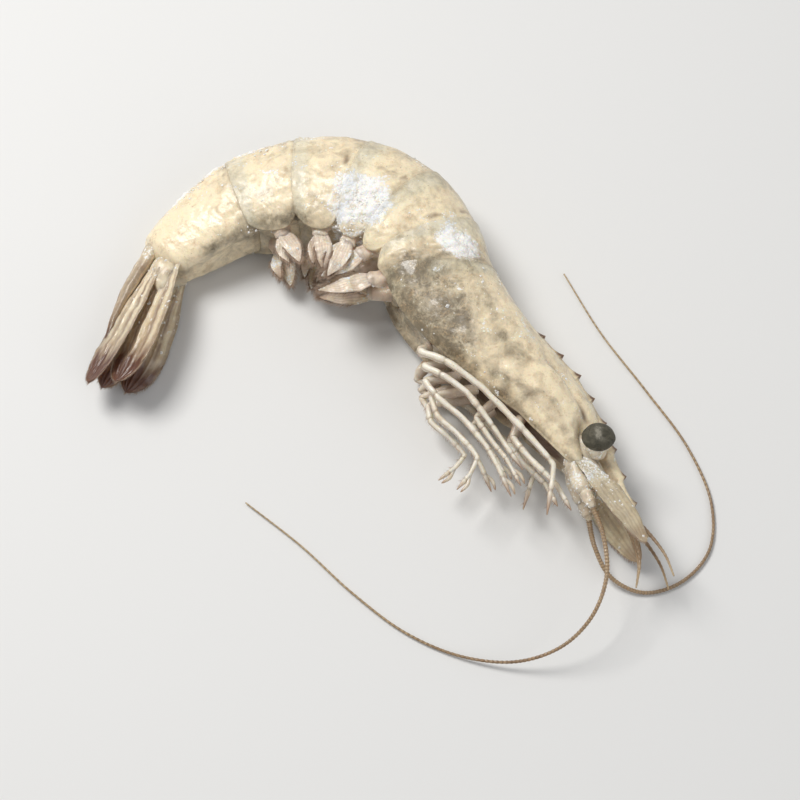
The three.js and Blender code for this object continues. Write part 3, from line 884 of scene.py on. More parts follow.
class Finishes:
    """Every finish of the shrimp."""

    def __init__(self) -> None:
        """Builds the shared effects and the materials."""
        effects = Effects()
        self.shell = Flesh(
            "shell_frosted",
            deep=(0.215, 0.175, 0.115),
            pale=(0.96, 0.82, 0.58),
            warm=(0.60, 0.43, 0.25),
            stain=(0.14, 0.078, 0.046),
            mottle=0.68,
            warmth=0.62,
            curls=0.34,
        ).make(effects)
        self.limb = Flesh(
            "limb_cream",
            deep=(0.42, 0.32, 0.21),
            pale=(0.94, 0.87, 0.74),
            warm=(0.68, 0.50, 0.34),
            stain=(0.25, 0.13, 0.08),
            speck_share=0.15,
            coat=0.5,
            roughness=0.34,
        ).make(effects)
        self.swimmeret = Flesh(
            "swimmeret_pink",
            deep=(0.42, 0.30, 0.21),
            pale=(0.88, 0.73, 0.60),
            warm=(0.72, 0.47, 0.36),
            stain=(0.20, 0.115, 0.075),
            bands_across=6.0,
            band_depth=0.2,
            speck_share=0.2,
            coat=0.45,
            translucence=0.4,
        ).make(effects)
        self.scale = Flesh(
            "scale_beige",
            deep=(0.33, 0.27, 0.17),
            pale=(0.74, 0.65, 0.47),
            warm=(0.56, 0.42, 0.26),
            stain=(0.22, 0.14, 0.09),
            bands_across=6.0,
            band_depth=0.22,
            translucence=0.4,
        ).make(effects)
        self.tail = Flesh(
            "tail_striped",
            deep=(0.40, 0.30, 0.18),
            pale=(0.80, 0.68, 0.50),
            warm=(0.58, 0.40, 0.27),
            stain=(0.125, 0.058, 0.038),
            bands_across=3.4,
            band_depth=0.42,
            roughness=0.42,
            translucence=0.35,
        ).make(effects)
        self.feeler = Flesh(
            "feeler_ringed",
            deep=(0.19, 0.125, 0.07),
            pale=(0.46, 0.35, 0.22),
            warm=(0.40, 0.26, 0.155),
            stain=(0.12, 0.07, 0.042),
            bands_along=120.0,
            band_depth=0.4,
            speck_share=0.0,
            roughness=0.4,
        ).make(effects)
        self.cornea = Cornea("eye_cornea").make(effects)
        ice = Grain("frost_grain", (0.94, 0.93, 0.90), (0.86, 0.85, 0.81), 0.45)
        hair = Grain("bristle_brown", (0.58, 0.43, 0.32), (0.30, 0.19, 0.13), 0.5)
        self.grains, self.bristles = ice.make(effects), hair.make(effects)


# ---------------------------------------------------------------------------------------------
# Tubes and blades


@dataclass
class Sweep:
    """A form swept along a path, with half width and half depth along it."""

    path: Path
    across: Point = (0.0, 0.0, 1.0)
    straight: float = 0.0
    crumple: float = 0.0

    def axes(self, t: Array) -> tuple[Array, Array, Array, Array]:
        """Centre, tangent, direction of the width and direction of the depth at t."""
        centre = self.path.straightened(t, self.straight) if self.straight else self.path.at(t)
        ahead, behind = (self.path.at(np.clip(t + e, 0, 1)) for e in (0.004, -0.004))
        tangent = unit(ahead - behind)
        deep = unit(np.cross(tangent, np.asarray(self.across, float)))
        return centre, tangent, np.cross(deep, tangent), deep

    def tube(self, t: Array, width: Array, depth: Array, sides: int, values: Values) -> Shape:
        """A closed tube.

        Args:
            t: Places along the path.
            width: Half width at each.
            depth: Half depth at each.
            sides: Points round the tube.
            values: Values along t, or along t and round the tube.

        Returns:
            The tube, with an along value of its own.
        """
        centre, _, wide, deep = self.axes(t)
        turn = np.linspace(0, 2 * np.pi, sides, endpoint=False)[None, :, None]
        rows = (
            centre[:, None]
            + wide[:, None] * np.cos(turn) * width[:, None, None]
            + deep[:, None] * np.sin(turn) * depth[:, None, None]
        )
        middle = centre[:, None]
        rows = middle + (rows - middle) * (1 + self.crumple * waves(rows, 2.8, 23))[..., None]
        grid = (len(t), sides)
        spread = {
            key: np.broadcast_to(value.reshape(len(t), -1), grid) for key, value in values.items()
        }
        spread["along"] = np.repeat(t[:, None], sides, 1)
        return Shape.around(rows, spread)

    def blade(
        self,
        t: Array,
        width: Array,
        depth: Array,
        ribs: Sequence[tuple[float, float, float]],
        camber: float,
        values: Callable[[Array, Array], Values],
        columns: int = 41,
    ) -> Shape:
        """A thin blade with ribs along it.

        Args:
            t: Places along the path.
            width: Half width at each.
            depth: Half depth at each.
            ribs: Each rib's place across (-1 to 1), width and height.
            camber: How far the middle stands proud of the margins.
            values: Values at t and at the place across.
            columns: Points across each face.

        Returns:
            The blade.
        """
        centre, _, wide, deep = self.axes(t)
        v = np.linspace(-1, 1, columns)
        body = (1 - np.abs(v) ** 2.5) ** 0.6
        ridges = sum(height * bell(v, place, size) for place, size, height in ribs)
        arch = camber * (1 - v**2)
        fade = np.minimum(1.0, width / max(float(width.max()), 1e-6) * 1.6)[:, None]
        upper = depth[:, None] * body + fade * (arch + ridges) + 0.05
        lower = -depth[:, None] * body * 0.7 + fade * (arch - 0.4 * ridges) - 0.05
        loop_v = np.concatenate([v, v[::-1]])
        height = np.concatenate([upper, lower[:, ::-1]], 1)
        rows = (
            centre[:, None]
            + wide[:, None] * (width[:, None] * loop_v)[..., None]
            + deep[:, None] * height[..., None]
        )
        folds = waves(rows, 4.0, 21) + 0.45 * waves(rows, 1.5, 22)
        rows = rows + deep[:, None] * (self.crumple * folds)[..., None]
        grid_t = np.repeat(t[:, None], len(loop_v), 1)
        grid_v = np.repeat(loop_v[None], len(t), 0)
        carried = values(grid_t, grid_v)
        carried["across"] = (grid_v + 1) / 2
        return Shape.around(rows, carried)


def paddle(t: Array, half: float, root: float, bend: float = 0.62) -> Array:
    """Half width of a paddle: narrow at its root, broad, and rounded from bend to its end."""
    swell = root + (1 - root) * ramp(t, 0.0, 0.4)
    end = 1 - np.clip((t - bend) / (1 - bend), 0, 1) ** 2.4
    return half * swell * np.maximum(end, 0.004) ** 0.6


# ---------------------------------------------------------------------------------------------
# Small things in great number


@dataclass
class Bristles:
    """Fine hairs, each a thin three-sided spike."""

    sides: int = 3
    roots: list[Array] = field(default_factory=list)
    tips: list[Array] = field(default_factory=list)
    radii: list[Array] = field(default_factory=list)

    def plant(self, roots: Array, tips: Array, radius: float) -> None:
        """Adds hairs.

        Args:
            roots: Where they stand, as (n, 3) in the part's frame.
            tips: Where they end.
            radius: Their radius at the root.
        """
        self.roots.append(roots)
        self.tips.append(tips)
        self.radii.append(np.full(len(roots), radius))

    def fringe(
        self,
        rng: np.random.Generator,
        placing: Placing,
        sweep: Sweep,
        at: Array,
        edge: Array | float,
        margin: Array,
        lean: tuple[Array | float, float, float],
        long: tuple[float, float],
        radius: float = 0.03,
    ) -> None:
        """Adds hairs along a blade's margins, leaning towards its tip.

        Args:
            rng: The seeded source of the draws.
            placing: The blade's frame.
            sweep: The blade.
            at: Where each hair stands along it.
            edge: 1 for the right margin, -1 for the left one.
            margin: How far from the blade's middle each stands.
            lean: How far the hairs lean outwards and onwards, and how unevenly.
            long: The least and the greatest length.
            radius: Their radius at the root.
        """
        centre, tangent, wide, _ = sweep.axes(at)
        outwards, onwards, scatter = lean
        out = wide * np.reshape(edge, (-1, 1))
        root = centre + out * margin[:, None]
        uneven = rng.normal(0, scatter, (len(at), 3))
        leaning = unit(out * np.reshape(outwards, (-1, 1)) + tangent * onwards + uneven)
        tip = root + leaning * rng.uniform(*long, len(at))[:, None]
        self.plant(placing.out(root), placing.out(tip), radius)

    def shape(self) -> Shape:
        """All the hairs as one shape."""
        roots, tips = np.vstack(self.roots), np.vstack(self.tips)
        radii = np.concatenate(self.radii)[:, None]
        along = unit(tips - roots)
        aside = unit(np.cross(along, np.array([0.31, 0.52, 0.79])))
        over = np.cross(along, aside)
        turns = np.arange(self.sides) * 2 * np.pi / self.sides
        corners = [
            roots + radii * (math.cos(turn) * aside + math.sin(turn) * over) for turn in turns
        ]
        points = np.stack([*corners, tips], 1)
        points[..., 2] = np.maximum(points[..., 2], FLOOR_GAP)
        base = np.arange(len(roots))[:, None] * (self.sides + 1)
        faces = np.array([[0, 1, 3], [1, 2, 3], [2, 0, 3], [0, 2, 1]])
        triangles = (base[:, :, None] + faces[None]).reshape(-1, 3)
        tone = np.tile([0.2] * self.sides + [1.0], len(roots))
        return Shape(points.reshape(-1, 3), np.zeros((0, 4), int), triangles, {"tone": tone})


@dataclass
class FrostGrains:
    """Loose ice grains on the skin, densest where the frost lies thick."""

    body: BodySpace
    seed: int = 7
    tries: int = 60000
    most: int = 15000
    smallest: float = 0.05
    largest: float = 0.34
    flatness: float = 0.65
    reach: tuple[float, float] = (-37.0, 61.0)
    lowest: float = 0.6
    settled: list[tuple[Array, Array]] = field(default_factory=list)

    def settle(self, shape: Shape, count: int) -> Shape:
        """Lays grains on a limb or blade, most of them where its ice value is high.

        Args:
            shape: The limb or blade, in the part's frame.
            count: How many grains.

        Returns:
            The same shape.
        """
        rng = np.random.default_rng(self.seed + count + len(self.settled))
        at, out = shape.scattered(rng, count, "ice")
        high = (at[:, 2] > 0.4) & (out[:, 2] > -0.5)
        self.settled.append((at[high], out[high]))
        return shape

    def shape(self, cover: Callable, coarse: Callable) -> Shape:
        """Scatters the grains.

        Args:
            cover: How thick the frost lies at s and angle, from 0 to 1.
            coarse: How much larger than elsewhere the grains are at s and angle.

        Returns:
            All the grains as one shape.
        """
        rng = np.random.default_rng(self.seed)
        s = rng.uniform(*self.reach, self.tries)
        angle = rng.uniform(-math.pi, math.pi, self.tries)
        keep = rng.uniform(0, 1, self.tries) < cover(s, angle)
        s, angle = s[keep][: self.most], angle[keep][: self.most]
        at = self.body.skin(s, angle, 0.05)
        keep = at[:, 2] > self.lowest
        at, s, angle = at[keep], s[keep], angle[keep]
        out = unit(self.body.skin(s, angle, 1.0) - at)
        larger = 1 + 0.5 * coarse(s, angle)
        at = np.vstack([at, *(places for places, _ in self.settled)])
        out = np.vstack([out, *(directions for _, directions in self.settled)])
        larger = np.append(larger, np.ones(len(at) - len(larger)))
        size = self.smallest + (self.largest - self.smallest) * rng.uniform(0, 1, len(at)) ** 4
        size = size * larger
        corners = np.vstack([sign * np.eye(3)[k] for k in range(3) for sign in (1, -1)])
        spun = unit(rng.normal(size=(len(at), 3)))
        aside = unit(np.cross(out, spun))
        over = np.cross(out, aside)
        jitter = rng.uniform(0.5, 1.5, (len(at), 6, 1)) * size[:, None, None]
        axes = np.stack([aside, over, out * self.flatness], 1)
        points = at[:, None] + np.einsum("ck,nkj->ncj", corners, axes) * jitter
        faces = np.array(
            [[0, 2, 4], [2, 1, 4], [1, 3, 4], [3, 0, 4], [2, 0, 5], [1, 2, 5], [3, 1, 5], [0, 3, 5]]
        )
        triangles = (np.arange(len(at))[:, None, None] * 6 + faces[None]).reshape(-1, 3)
        tone = np.repeat(rng.uniform(0, 1, len(at)), 6)
        return Shape(points.reshape(-1, 3), np.zeros((0, 4), int), triangles, {"tone": tone})


# ---------------------------------------------------------------------------------------------
# Head shield and rings


@dataclass
class Regions:
    """Where the skin is pale, grey, warm or frosted, and where shade and highlight are painted into it.
    """

    body: BodySpace

    def tone(self, s: Array, angle: Array, d: Array) -> Array:
        """How pale the skin is: grey on the head shield's flank, cream over the arch, with painted
        shade on the lower side plates of rings 4 to 6 and over the top of the arch at rings 3 and 4.
        """
        degrees = np.abs(np.degrees(angle))
        pale = 0.56 + 0.28 * ramp(s, -3, 6) + 0.16 * ramp(s, 42, 56)
        back = 0.68 * bell(degrees, 0, 60) * (1 - ramp(s, -6, 4))
        cheek = 0.30 * bell(s, -32, 9) * ramp(degrees, 20, 50) * (1 - ramp(degrees, 105, 135))
        gill = -0.84 * bell(s, -4.5, 7.5) * bell(d, -4.4, 6.2)
        # plates: olive-grey along the lower side plates of rings 4 to 6, partly the translucent plates'
        # own colour and partly painted shade under the curl
        plates = -0.60 * bell(degrees, 136, 16) * ramp(s, 24, 36) * (1 - ramp(s, 54, 63))
        under = -0.12 * ramp(degrees, 112, 150) * (1 - ramp(s, -12, 4))
        belly = -0.32 * ramp(degrees, 140, 165) * ramp(s, 0, 12)
        # painted shade: a darker tan band over the top of the arch at rings 3 and 4
        crown_shade = -0.16 * bell(s, 22, 9) * bell(degrees, 10, 35)
        streaks = 0.15 * self._drawn_out(s, angle, 2.4, 15) * (1 - ramp(s, -3, 5))
        return pale + back + cheek + gill + plates + under + belly + crown_shade + streaks

    @staticmethod
    def _drawn_out(s: Array, angle: Array, length: float, seed: int, share: float = 0.25) -> Array:
        """Unevenness drawn out along the body, to share of its length across."""
        radius = 8.0
        round_it = [radius * np.cos(angle), radius * np.sin(angle)]
        return waves(np.stack([share * s, *round_it], -1), length, seed)

    def _broken(self, s: Array, angle: Array) -> Array:
        """Patches along the back, from 0 between them to 1 inside them."""
        return ramp(self._drawn_out(s, angle, 4.5, 51, 1.0), -0.9, 0.8)

    def ice(self, s: Array, angle: Array, d: Array) -> Array:
        """How thick the frost lies. The white of the patches on the flank and on ring 1 is also a
        painted highlight.
        """
        degrees = np.abs(np.degrees(angle))
        # flank and first: patches of thick frost on rings 2 to 4 and on ring 1; their pure white is
        # partly frost and partly a painted highlight
        flank = np.minimum(1.35 * bell(s, 21.5, 8.5) * bell(d, -4.2, 6.6), 1.05)
        first = np.minimum(1.45 * bell(s, 3.9, 4.3) * bell(d, 4.3, 4.2), 1.05)
        crest = ramp(s, 26, 38) * (1 - ramp(s, 54, 60)) * bell(degrees, 8, 30)
        crest = crest * (0.5 + 0.5 * self._broken(s, angle))
        arch = 0.38 * ramp(s, 0, 8) * (1 - ramp(s, 50, 60)) * (1 - ramp(degrees, 120, 150))
        shield = 0.34 + 0.22 * bell(s, -14, 8) * bell(degrees, 45, 28)
        sparse = shield * (1 - ramp(s, -2, 8)) * (1 - ramp(degrees, 125, 155))
        return np.maximum.reduce([flank, first, crest, arch, sparse])

    def stain(self, s: Array, angle: Array) -> Array:
        """Red-brown stains: round the mouth, and in the furrow beside the rostrum."""
        degrees = np.abs(np.degrees(angle))
        mouth = 0.75 * ramp(degrees, 146, 158) * ramp(s, -39, -34) * (1 - ramp(s, -22, -8))
        furrow = 0.55 * bell(degrees, 43, 5) * bell(s, -34.5, 3.0)
        tan = 0.26 * ramp(self._drawn_out(s, angle, 3.0, 45), 0.2, 1.5)
        tan = tan * bell(s, -22, 14) * bell(degrees, 70, 45)
        return mouth + furrow + tan + self.scuffs(s, angle)

    def scuffs(self, s: Array, angle: Array) -> Array:
        """Brown scuffs just behind the joints, broken along their length."""
        degrees = np.abs(np.degrees(angle))
        at = self.body.skin(s, angle, 0.0)
        broken = ramp(waves(at, 5.0, 41) + 0.5 * waves(at, 1.6, 42), 0.25, 1.4)
        joints = sum(bell(s, joint + 1.1, 0.55) for joint in self.body.joints[:-1])
        flank = bell(degrees, 62, 42)
        return 0.5 * broken * joints * flank

    def crust(self, points: Array, ice: Array, ridge: Array) -> Array:
        """How far the frost stands off the skin, in millimetres."""
        jagged = 0.34 * ridge * np.clip(waves(points, 1.5, 52) + 0.1, 0, 1.6)
        return 0.19 * np.minimum(ice, 1) ** 2 * (1 + 0.9 * waves(points, 1.4, 9)) + jagged

    def grains(self, s: Array, angle: Array) -> Array:
        """How many loose grains lie at s and angle."""
        d, _ = self.body.section(s, angle, 0.0)
        degrees = np.abs(np.degrees(angle))
        thick = ramp(self.ice(s, angle, d), 0.5, 1.0) * 0.5
        at = self.body.skin(s, angle, 0.0)
        drifts = ramp(waves(at, 6.0, 11) + 0.5 * waves(at, 2.0, 12), 0.7, 2.2)
        ridge = self.ridge(s, angle)
        return np.clip(thick + ridge + 0.25 * drifts, 0, 1) * (1 - ramp(degrees, 140, 160))

    def ridge(self, s: Array, angle: Array) -> Array:
        """The jagged ice along the back of the arch."""
        along = ramp(s, 24, 36) * (1 - ramp(s, 54, 60))
        patches = 0.25 + 0.6 * self._broken(s, angle)
        return along * patches * bell(np.abs(np.degrees(angle)), 8, 26)


@dataclass
class Shells:
    """The head shield with its rostrum, and the six rings behind it."""

    body: BodySpace
    regions: Regions
    head: Placing
    columns: int = 300
    margin: float = 149.0
    recess: float = 0.9
    rim: float = 0.16
    lip: float = 0.22
    unevenness: float = 0.08
    cheek_lumps: float = 0.10
    blade_rise: float = 0.95
    rostrum_root: float = 13.0
    rostrum_orbit: float = 36.0
    rostrum_tip: float = 56.0
    tip_height: float = 0.6
    thickness: float = 1.7
    blade_depth: float = 3.6
    teeth_above: int = 8
    teeth_below: int = 2
    tooth: float = 0.9

    def _margin_relief(self, degrees: Array, margin: Array) -> Array:
        """A bead along the plates' lower margin, and the step down to the belly behind it."""
        bead = 0.14 * bell(degrees, margin - 2.5, 3.0)
        return bead - self.recess * ramp(degrees, margin, margin + 5)

    def _skin(self, rows: Array, margin: Callable, relief: Callable, seam: Callable) -> Shape:
        """A shell's closed skin.

        Args:
            rows: The outline as (s, offset, 1 outside or 0 inside).
            margin: Where the lower margin lies at s, in degrees.
            relief: Extra offset at s and degrees.
            seam: The rim's darkness at s and degrees.

        Returns:
            The skin with its values.
        """
        angles = np.linspace(-math.pi, math.pi, self.columns, endpoint=False)
        s, angle = np.meshgrid(rows[:, 0], angles, indexing="ij")
        offset = np.repeat(rows[:, 1:2], self.columns, axis=1)
        degrees = np.abs(np.degrees(angle))
        flat = self.body.skin(s, angle, offset)
        uneven = self.unevenness * (waves(flat, 7.0, 3) + 0.42 * waves(flat, 2.2, 5))
        uneven += 0.018 * waves(flat, 0.8, 6)
        outside = rows[:, 2:]
        step = self._margin_relief(degrees, margin(s))
        d, _ = self.body.section(s, angle, offset)
        ice = self.regions.ice(s, angle, d)
        uneven += self.regions.crust(flat, ice, self.regions.ridge(s, angle))
        extra = (relief(s, degrees) + uneven) * outside + step
        worn = 0.35 + 0.65 * ramp(waves(flat, 6.0, 17), -0.8, 0.9)
        values = {
            "tone": self.regions.tone(s, angle, d) + 0.15 * waves(flat, 2.6, 14) * bell(s, -27, 12),
            "ice": ice,
            "rim": seam(s, degrees) * outside * worn,
            "stain": self.regions.stain(s, angle),
        }
        return Shape.around(self.body.skin(s, angle, offset + extra), values)

    def _turned_in(self, end: float) -> list[tuple[float, float, int]]:
        """The rounded rim at a shell's rear end, as (s, offset, 1)."""
        steps = ((0.12, 0.08), (0.16, 0.16), (0.08, self.lip))
        return [(end + ahead, self.rim - sunk, 1) for ahead, sunk in steps]

    def _shield_margin(self, s: Array) -> Array:
        """The head shield's lower margin, rising to the face."""
        return self.margin - 10 * ramp(s, -22, -38)

    def _shield_relief(self, s: Array, degrees: Array) -> Array:
        """Ridges, spines and furrows of the head shield."""
        ahead = ramp(s, -39.5, -36) * (1 - ramp(s, -26, -13))
        ridge = 0.5 * bell(degrees, 0, 24) * ahead
        channel = -0.5 * bell(degrees, 43, 8) * ahead
        hollow = -0.18 * bell(s, -31.0, 2.6) * bell(degrees, 84, 14)
        spine = 0.30 * bell(s, -29.0, 1.5) * bell(degrees, 88, 4.5)
        cheek = 0.22 * bell(s, -34, 3.5) * bell(degrees, 100, 14)
        gill = 0.16 * bell(degrees, 62 + 0.5 * (s + 20), 5)
        gill = gill * ramp(s, -24, -16) * (1 - ramp(s, -6, 0))
        lumps = np.sin(s * 1.9 + 2 * np.sin(degrees / 9)) * np.sin(degrees / 7 + s * 0.4)
        lumps = self.cheek_lumps * lumps * bell(s, -29, 7) * bell(degrees, 85, 30)
        return ridge + channel + hollow + spine + cheek + gill + lumps

    def _shield_seam(self, s: Array, degrees: Array) -> Array:
        """Dark line along the shield's rear rim, furrow and lower margin."""
        low = 0.7 * bell(degrees, self._shield_margin(s) + 2, 2.2)
        return np.clip(0.55 * ramp(s, -0.9, -0.1) + low + 0.4 * self.body.groove(s, degrees), 0, 1)

    def shield(self) -> Shape:
        """The head shield without its rostrum."""
        front = self.body.front
        inward = [(2.6, -1.7), (1.6, -1.35), (0.6, -1.1), (0.1, -0.95)]
        outline = [
            (front, -0.75), (-38.4, 0.0), (-35.4, 0.0), (-3.4, 0.0), (-1.0, 0.11), (0.0, self.rim),
        ]
        stretches = ((front, -36, 26), (-35.75, -2, 128), (-1.8, 0, 14))
        s = np.concatenate([np.linspace(*stretch) for stretch in stretches])
        skin = np.stack([s, knots(s, outline), np.ones_like(s)], -1).tolist()
        face = [(front + back, offset, 0) for back, offset in inward]
        inside = [*self._turned_in(0.0), (-1.0, -0.14, 0), (-2.6, -0.3, 0)]
        rows = np.array(face + skin + inside, float)
        return self._skin(rows, self._shield_margin, self._shield_relief, self._shield_seam)

    def _crest(self, f: Array) -> Array:
        """Height of the rostrum's upper edge without its teeth."""
        leaves = self.rostrum_orbit - 7
        back = self.body.profile(1, -np.minimum(f, leaves)) - 0.2
        share = ramp(f, leaves - 4, self.rostrum_tip + 4)
        proud = self.blade_rise * ramp(f, 10, 19) * (1 - ramp(f, 36, 52))
        return back + (self.tip_height - back) * share + 0.5 * bell(f, 28, 9) + proud

    def rostrum(self) -> Shape:
        """The toothed blade over the eyes, lens-shaped across."""
        start, tip = self.rostrum_root, self.rostrum_tip
        f = np.linspace(start - 3, tip, 520)
        crest = self._crest(f)
        pitch = (tip - 5 - start) / self.teeth_above
        share = np.clip((f - start) / pitch, 0, self.teeth_above)
        inside = (share > 0) & (share < self.teeth_above)
        share = share % 1.0
        peak, foot = 0.84, 0.93
        fall = np.clip((foot - share) / (foot - peak), 0, 1)
        rise = np.where(share < peak, (share / peak) ** 3.2, fall)
        teeth = self.tooth * rise * inside * (0.6 + 0.4 * ramp(f, start, start + 12))
        depth = self.blade_depth * (1 - 0.8 * ramp(f, self.rostrum_orbit - 2, tip))
        sunk = crest - 5.0
        keel = sunk + (crest - depth - sunk) * ramp(f, self.rostrum_orbit - 7, self.rostrum_orbit)
        for i in range(self.teeth_below):
            keel = keel - 0.6 * bell(f, tip - 4.0 - 3.6 * i, 0.55)
        v = np.linspace(0, 1, 13) ** 1.5
        lens = 0.1 + 0.9 * np.sin(np.pi * v**0.85) ** 0.8
        ridge = 0.3 * bell(v, 0.55, 0.1)
        half = self.thickness / 2 * (1 - 0.72 * ramp(f, self.rostrum_orbit, tip))
        height = (crest + teeth)[:, None] + (keel - crest - teeth)[:, None] * v
        right = half[:, None] * (lens + ridge)
        forward = np.repeat(f[:, None], len(v), 1)
        near, far = (np.stack([forward, height, sign * right], -1) for sign in (1, -1))
        loop = np.concatenate([near, far[:, ::-1]], 1)
        top = np.concatenate([1 - v, (1 - v)[::-1]])[None]
        dark = ramp(rise * inside, 0.12, 0.75)[:, None] * bell(top, 1.0, 0.15)
        line = 0.30 * bell(top, 1.0, 0.07) + 0.25 * bell(top, 0.0, 0.2)
        values = {
            "tone": 0.86 + 0.12 * waves(loop, 2.4, 46) - 0.35 * bell(top, 0.25, 0.2),
            "ice": np.full(loop.shape[:2], 0.3),
            "stain": dark * 0.85 + line,
        }
        return self.head.placed(Shape.around(loop, values))

    def _ring_relief(self, index: int) -> tuple[Callable, Callable, Callable]:
        """The lower margin, the relief and the seam of one ring."""
        start, length = self.body.joints[index], self.body.rings[index].length
        last = index == len(self.body.rings) - 1

        def margin(s: Array) -> Array:
            """The side plate's lower margin, rounded at its front and rear."""
            share = np.clip((s - start) / length, 0, 1)
            if last:
                return np.full_like(s, 200.0)
            tucked = 150 * (1 - ramp(share, 0.45, 0.6)) if index == 0 else 0
            rounded = 28 * np.sin(np.pi * np.clip(share * 0.94 + 0.03, 0, 1)) ** 0.6
            return np.maximum(tucked, 124 + rounded)

        def relief(s: Array, degrees: Array) -> Array:
            """A hinge line low on the flank, and ribs across the belly."""
            share = (s - start) / length
            hinge = -0.22 * bell(degrees, 104, 5) * (1 - ramp(share, 0.05, 0.35))
            ribs = 0.16 * np.sin(share * 4 * np.pi) * ramp(degrees, 158, 168)
            return hinge + ribs

        def seam(s: Array, degrees: Array) -> Array:
            """Dark line along the rear rim and the side plates' margin."""
            share = (s - start) / length
            rear = (0.2 if last else 0.36) * ramp(share, 1 - 0.4 / length, 1.0)
            rear = rear * ramp(degrees, 6, 30)
            nose = 0.5 * (1 - ramp(share, 0.0, 0.05))
            low = 0.55 * bell(degrees, margin(s) + 2, 2.4)
            return np.clip(rear + nose + low, 0, 1)

        return margin, relief, seam

    def ring(self, index: int) -> Shape:
        """One ring, with its nose under the shell in front of it."""
        start, length = self.body.joints[index], self.body.rings[index].length
        end = start + length
        last = index == len(self.body.rings) - 1
        rounded = [(end - 0.8, 0.1), (end, -0.15), (end + 0.9, -1.2), (end + 1.5, -2.6)]
        rear = rounded if last else [(end - 0.6, 0.10), (end, self.rim)]
        outline = [
            (start - 1.7, -0.95),
            (start - 0.9, -0.34),
            (start + 0.5, -0.11),
            (start + 0.16 * length, -0.08),
            (start + 0.5 * length, -0.04),
            (start + 0.84 * length, 0.04),
            *rear,
        ]
        stop = end + 1.5 if last else end
        stretches = (
            (start - 1.7, start + 1.5, 18),
            (start + 1.7, stop - 1.2, int(length * 6)),
            (stop - 1.1, stop, 14),
        )
        s = np.concatenate([np.linspace(*stretch) for stretch in stretches])
        skin = np.stack([s, knots(s, outline), np.ones_like(s)], -1).tolist()
        inside = [*self._turned_in(end), (end - 1.0, -0.14, 0), (end - 2.2, -0.3, 0)]
        rows = np.array(skin if last else skin + inside, float)
        return self._skin(rows, *self._ring_relief(index))

    def build(self, finishes: Finishes) -> None:
        """Makes the shield and the rings."""
        shapes = [self.shield(), self.rostrum()]
        make_piece("carapace_shell", shapes, finishes.shell, ["carapace"])
        for index in range(len(self.body.rings)):
            node = f"abdomen_ring_{index + 1}"
            make_piece(f"{node}_shell", [self.ring(index)], finishes.shell, [node])


# ---------------------------------------------------------------------------------------------
# Head's parts


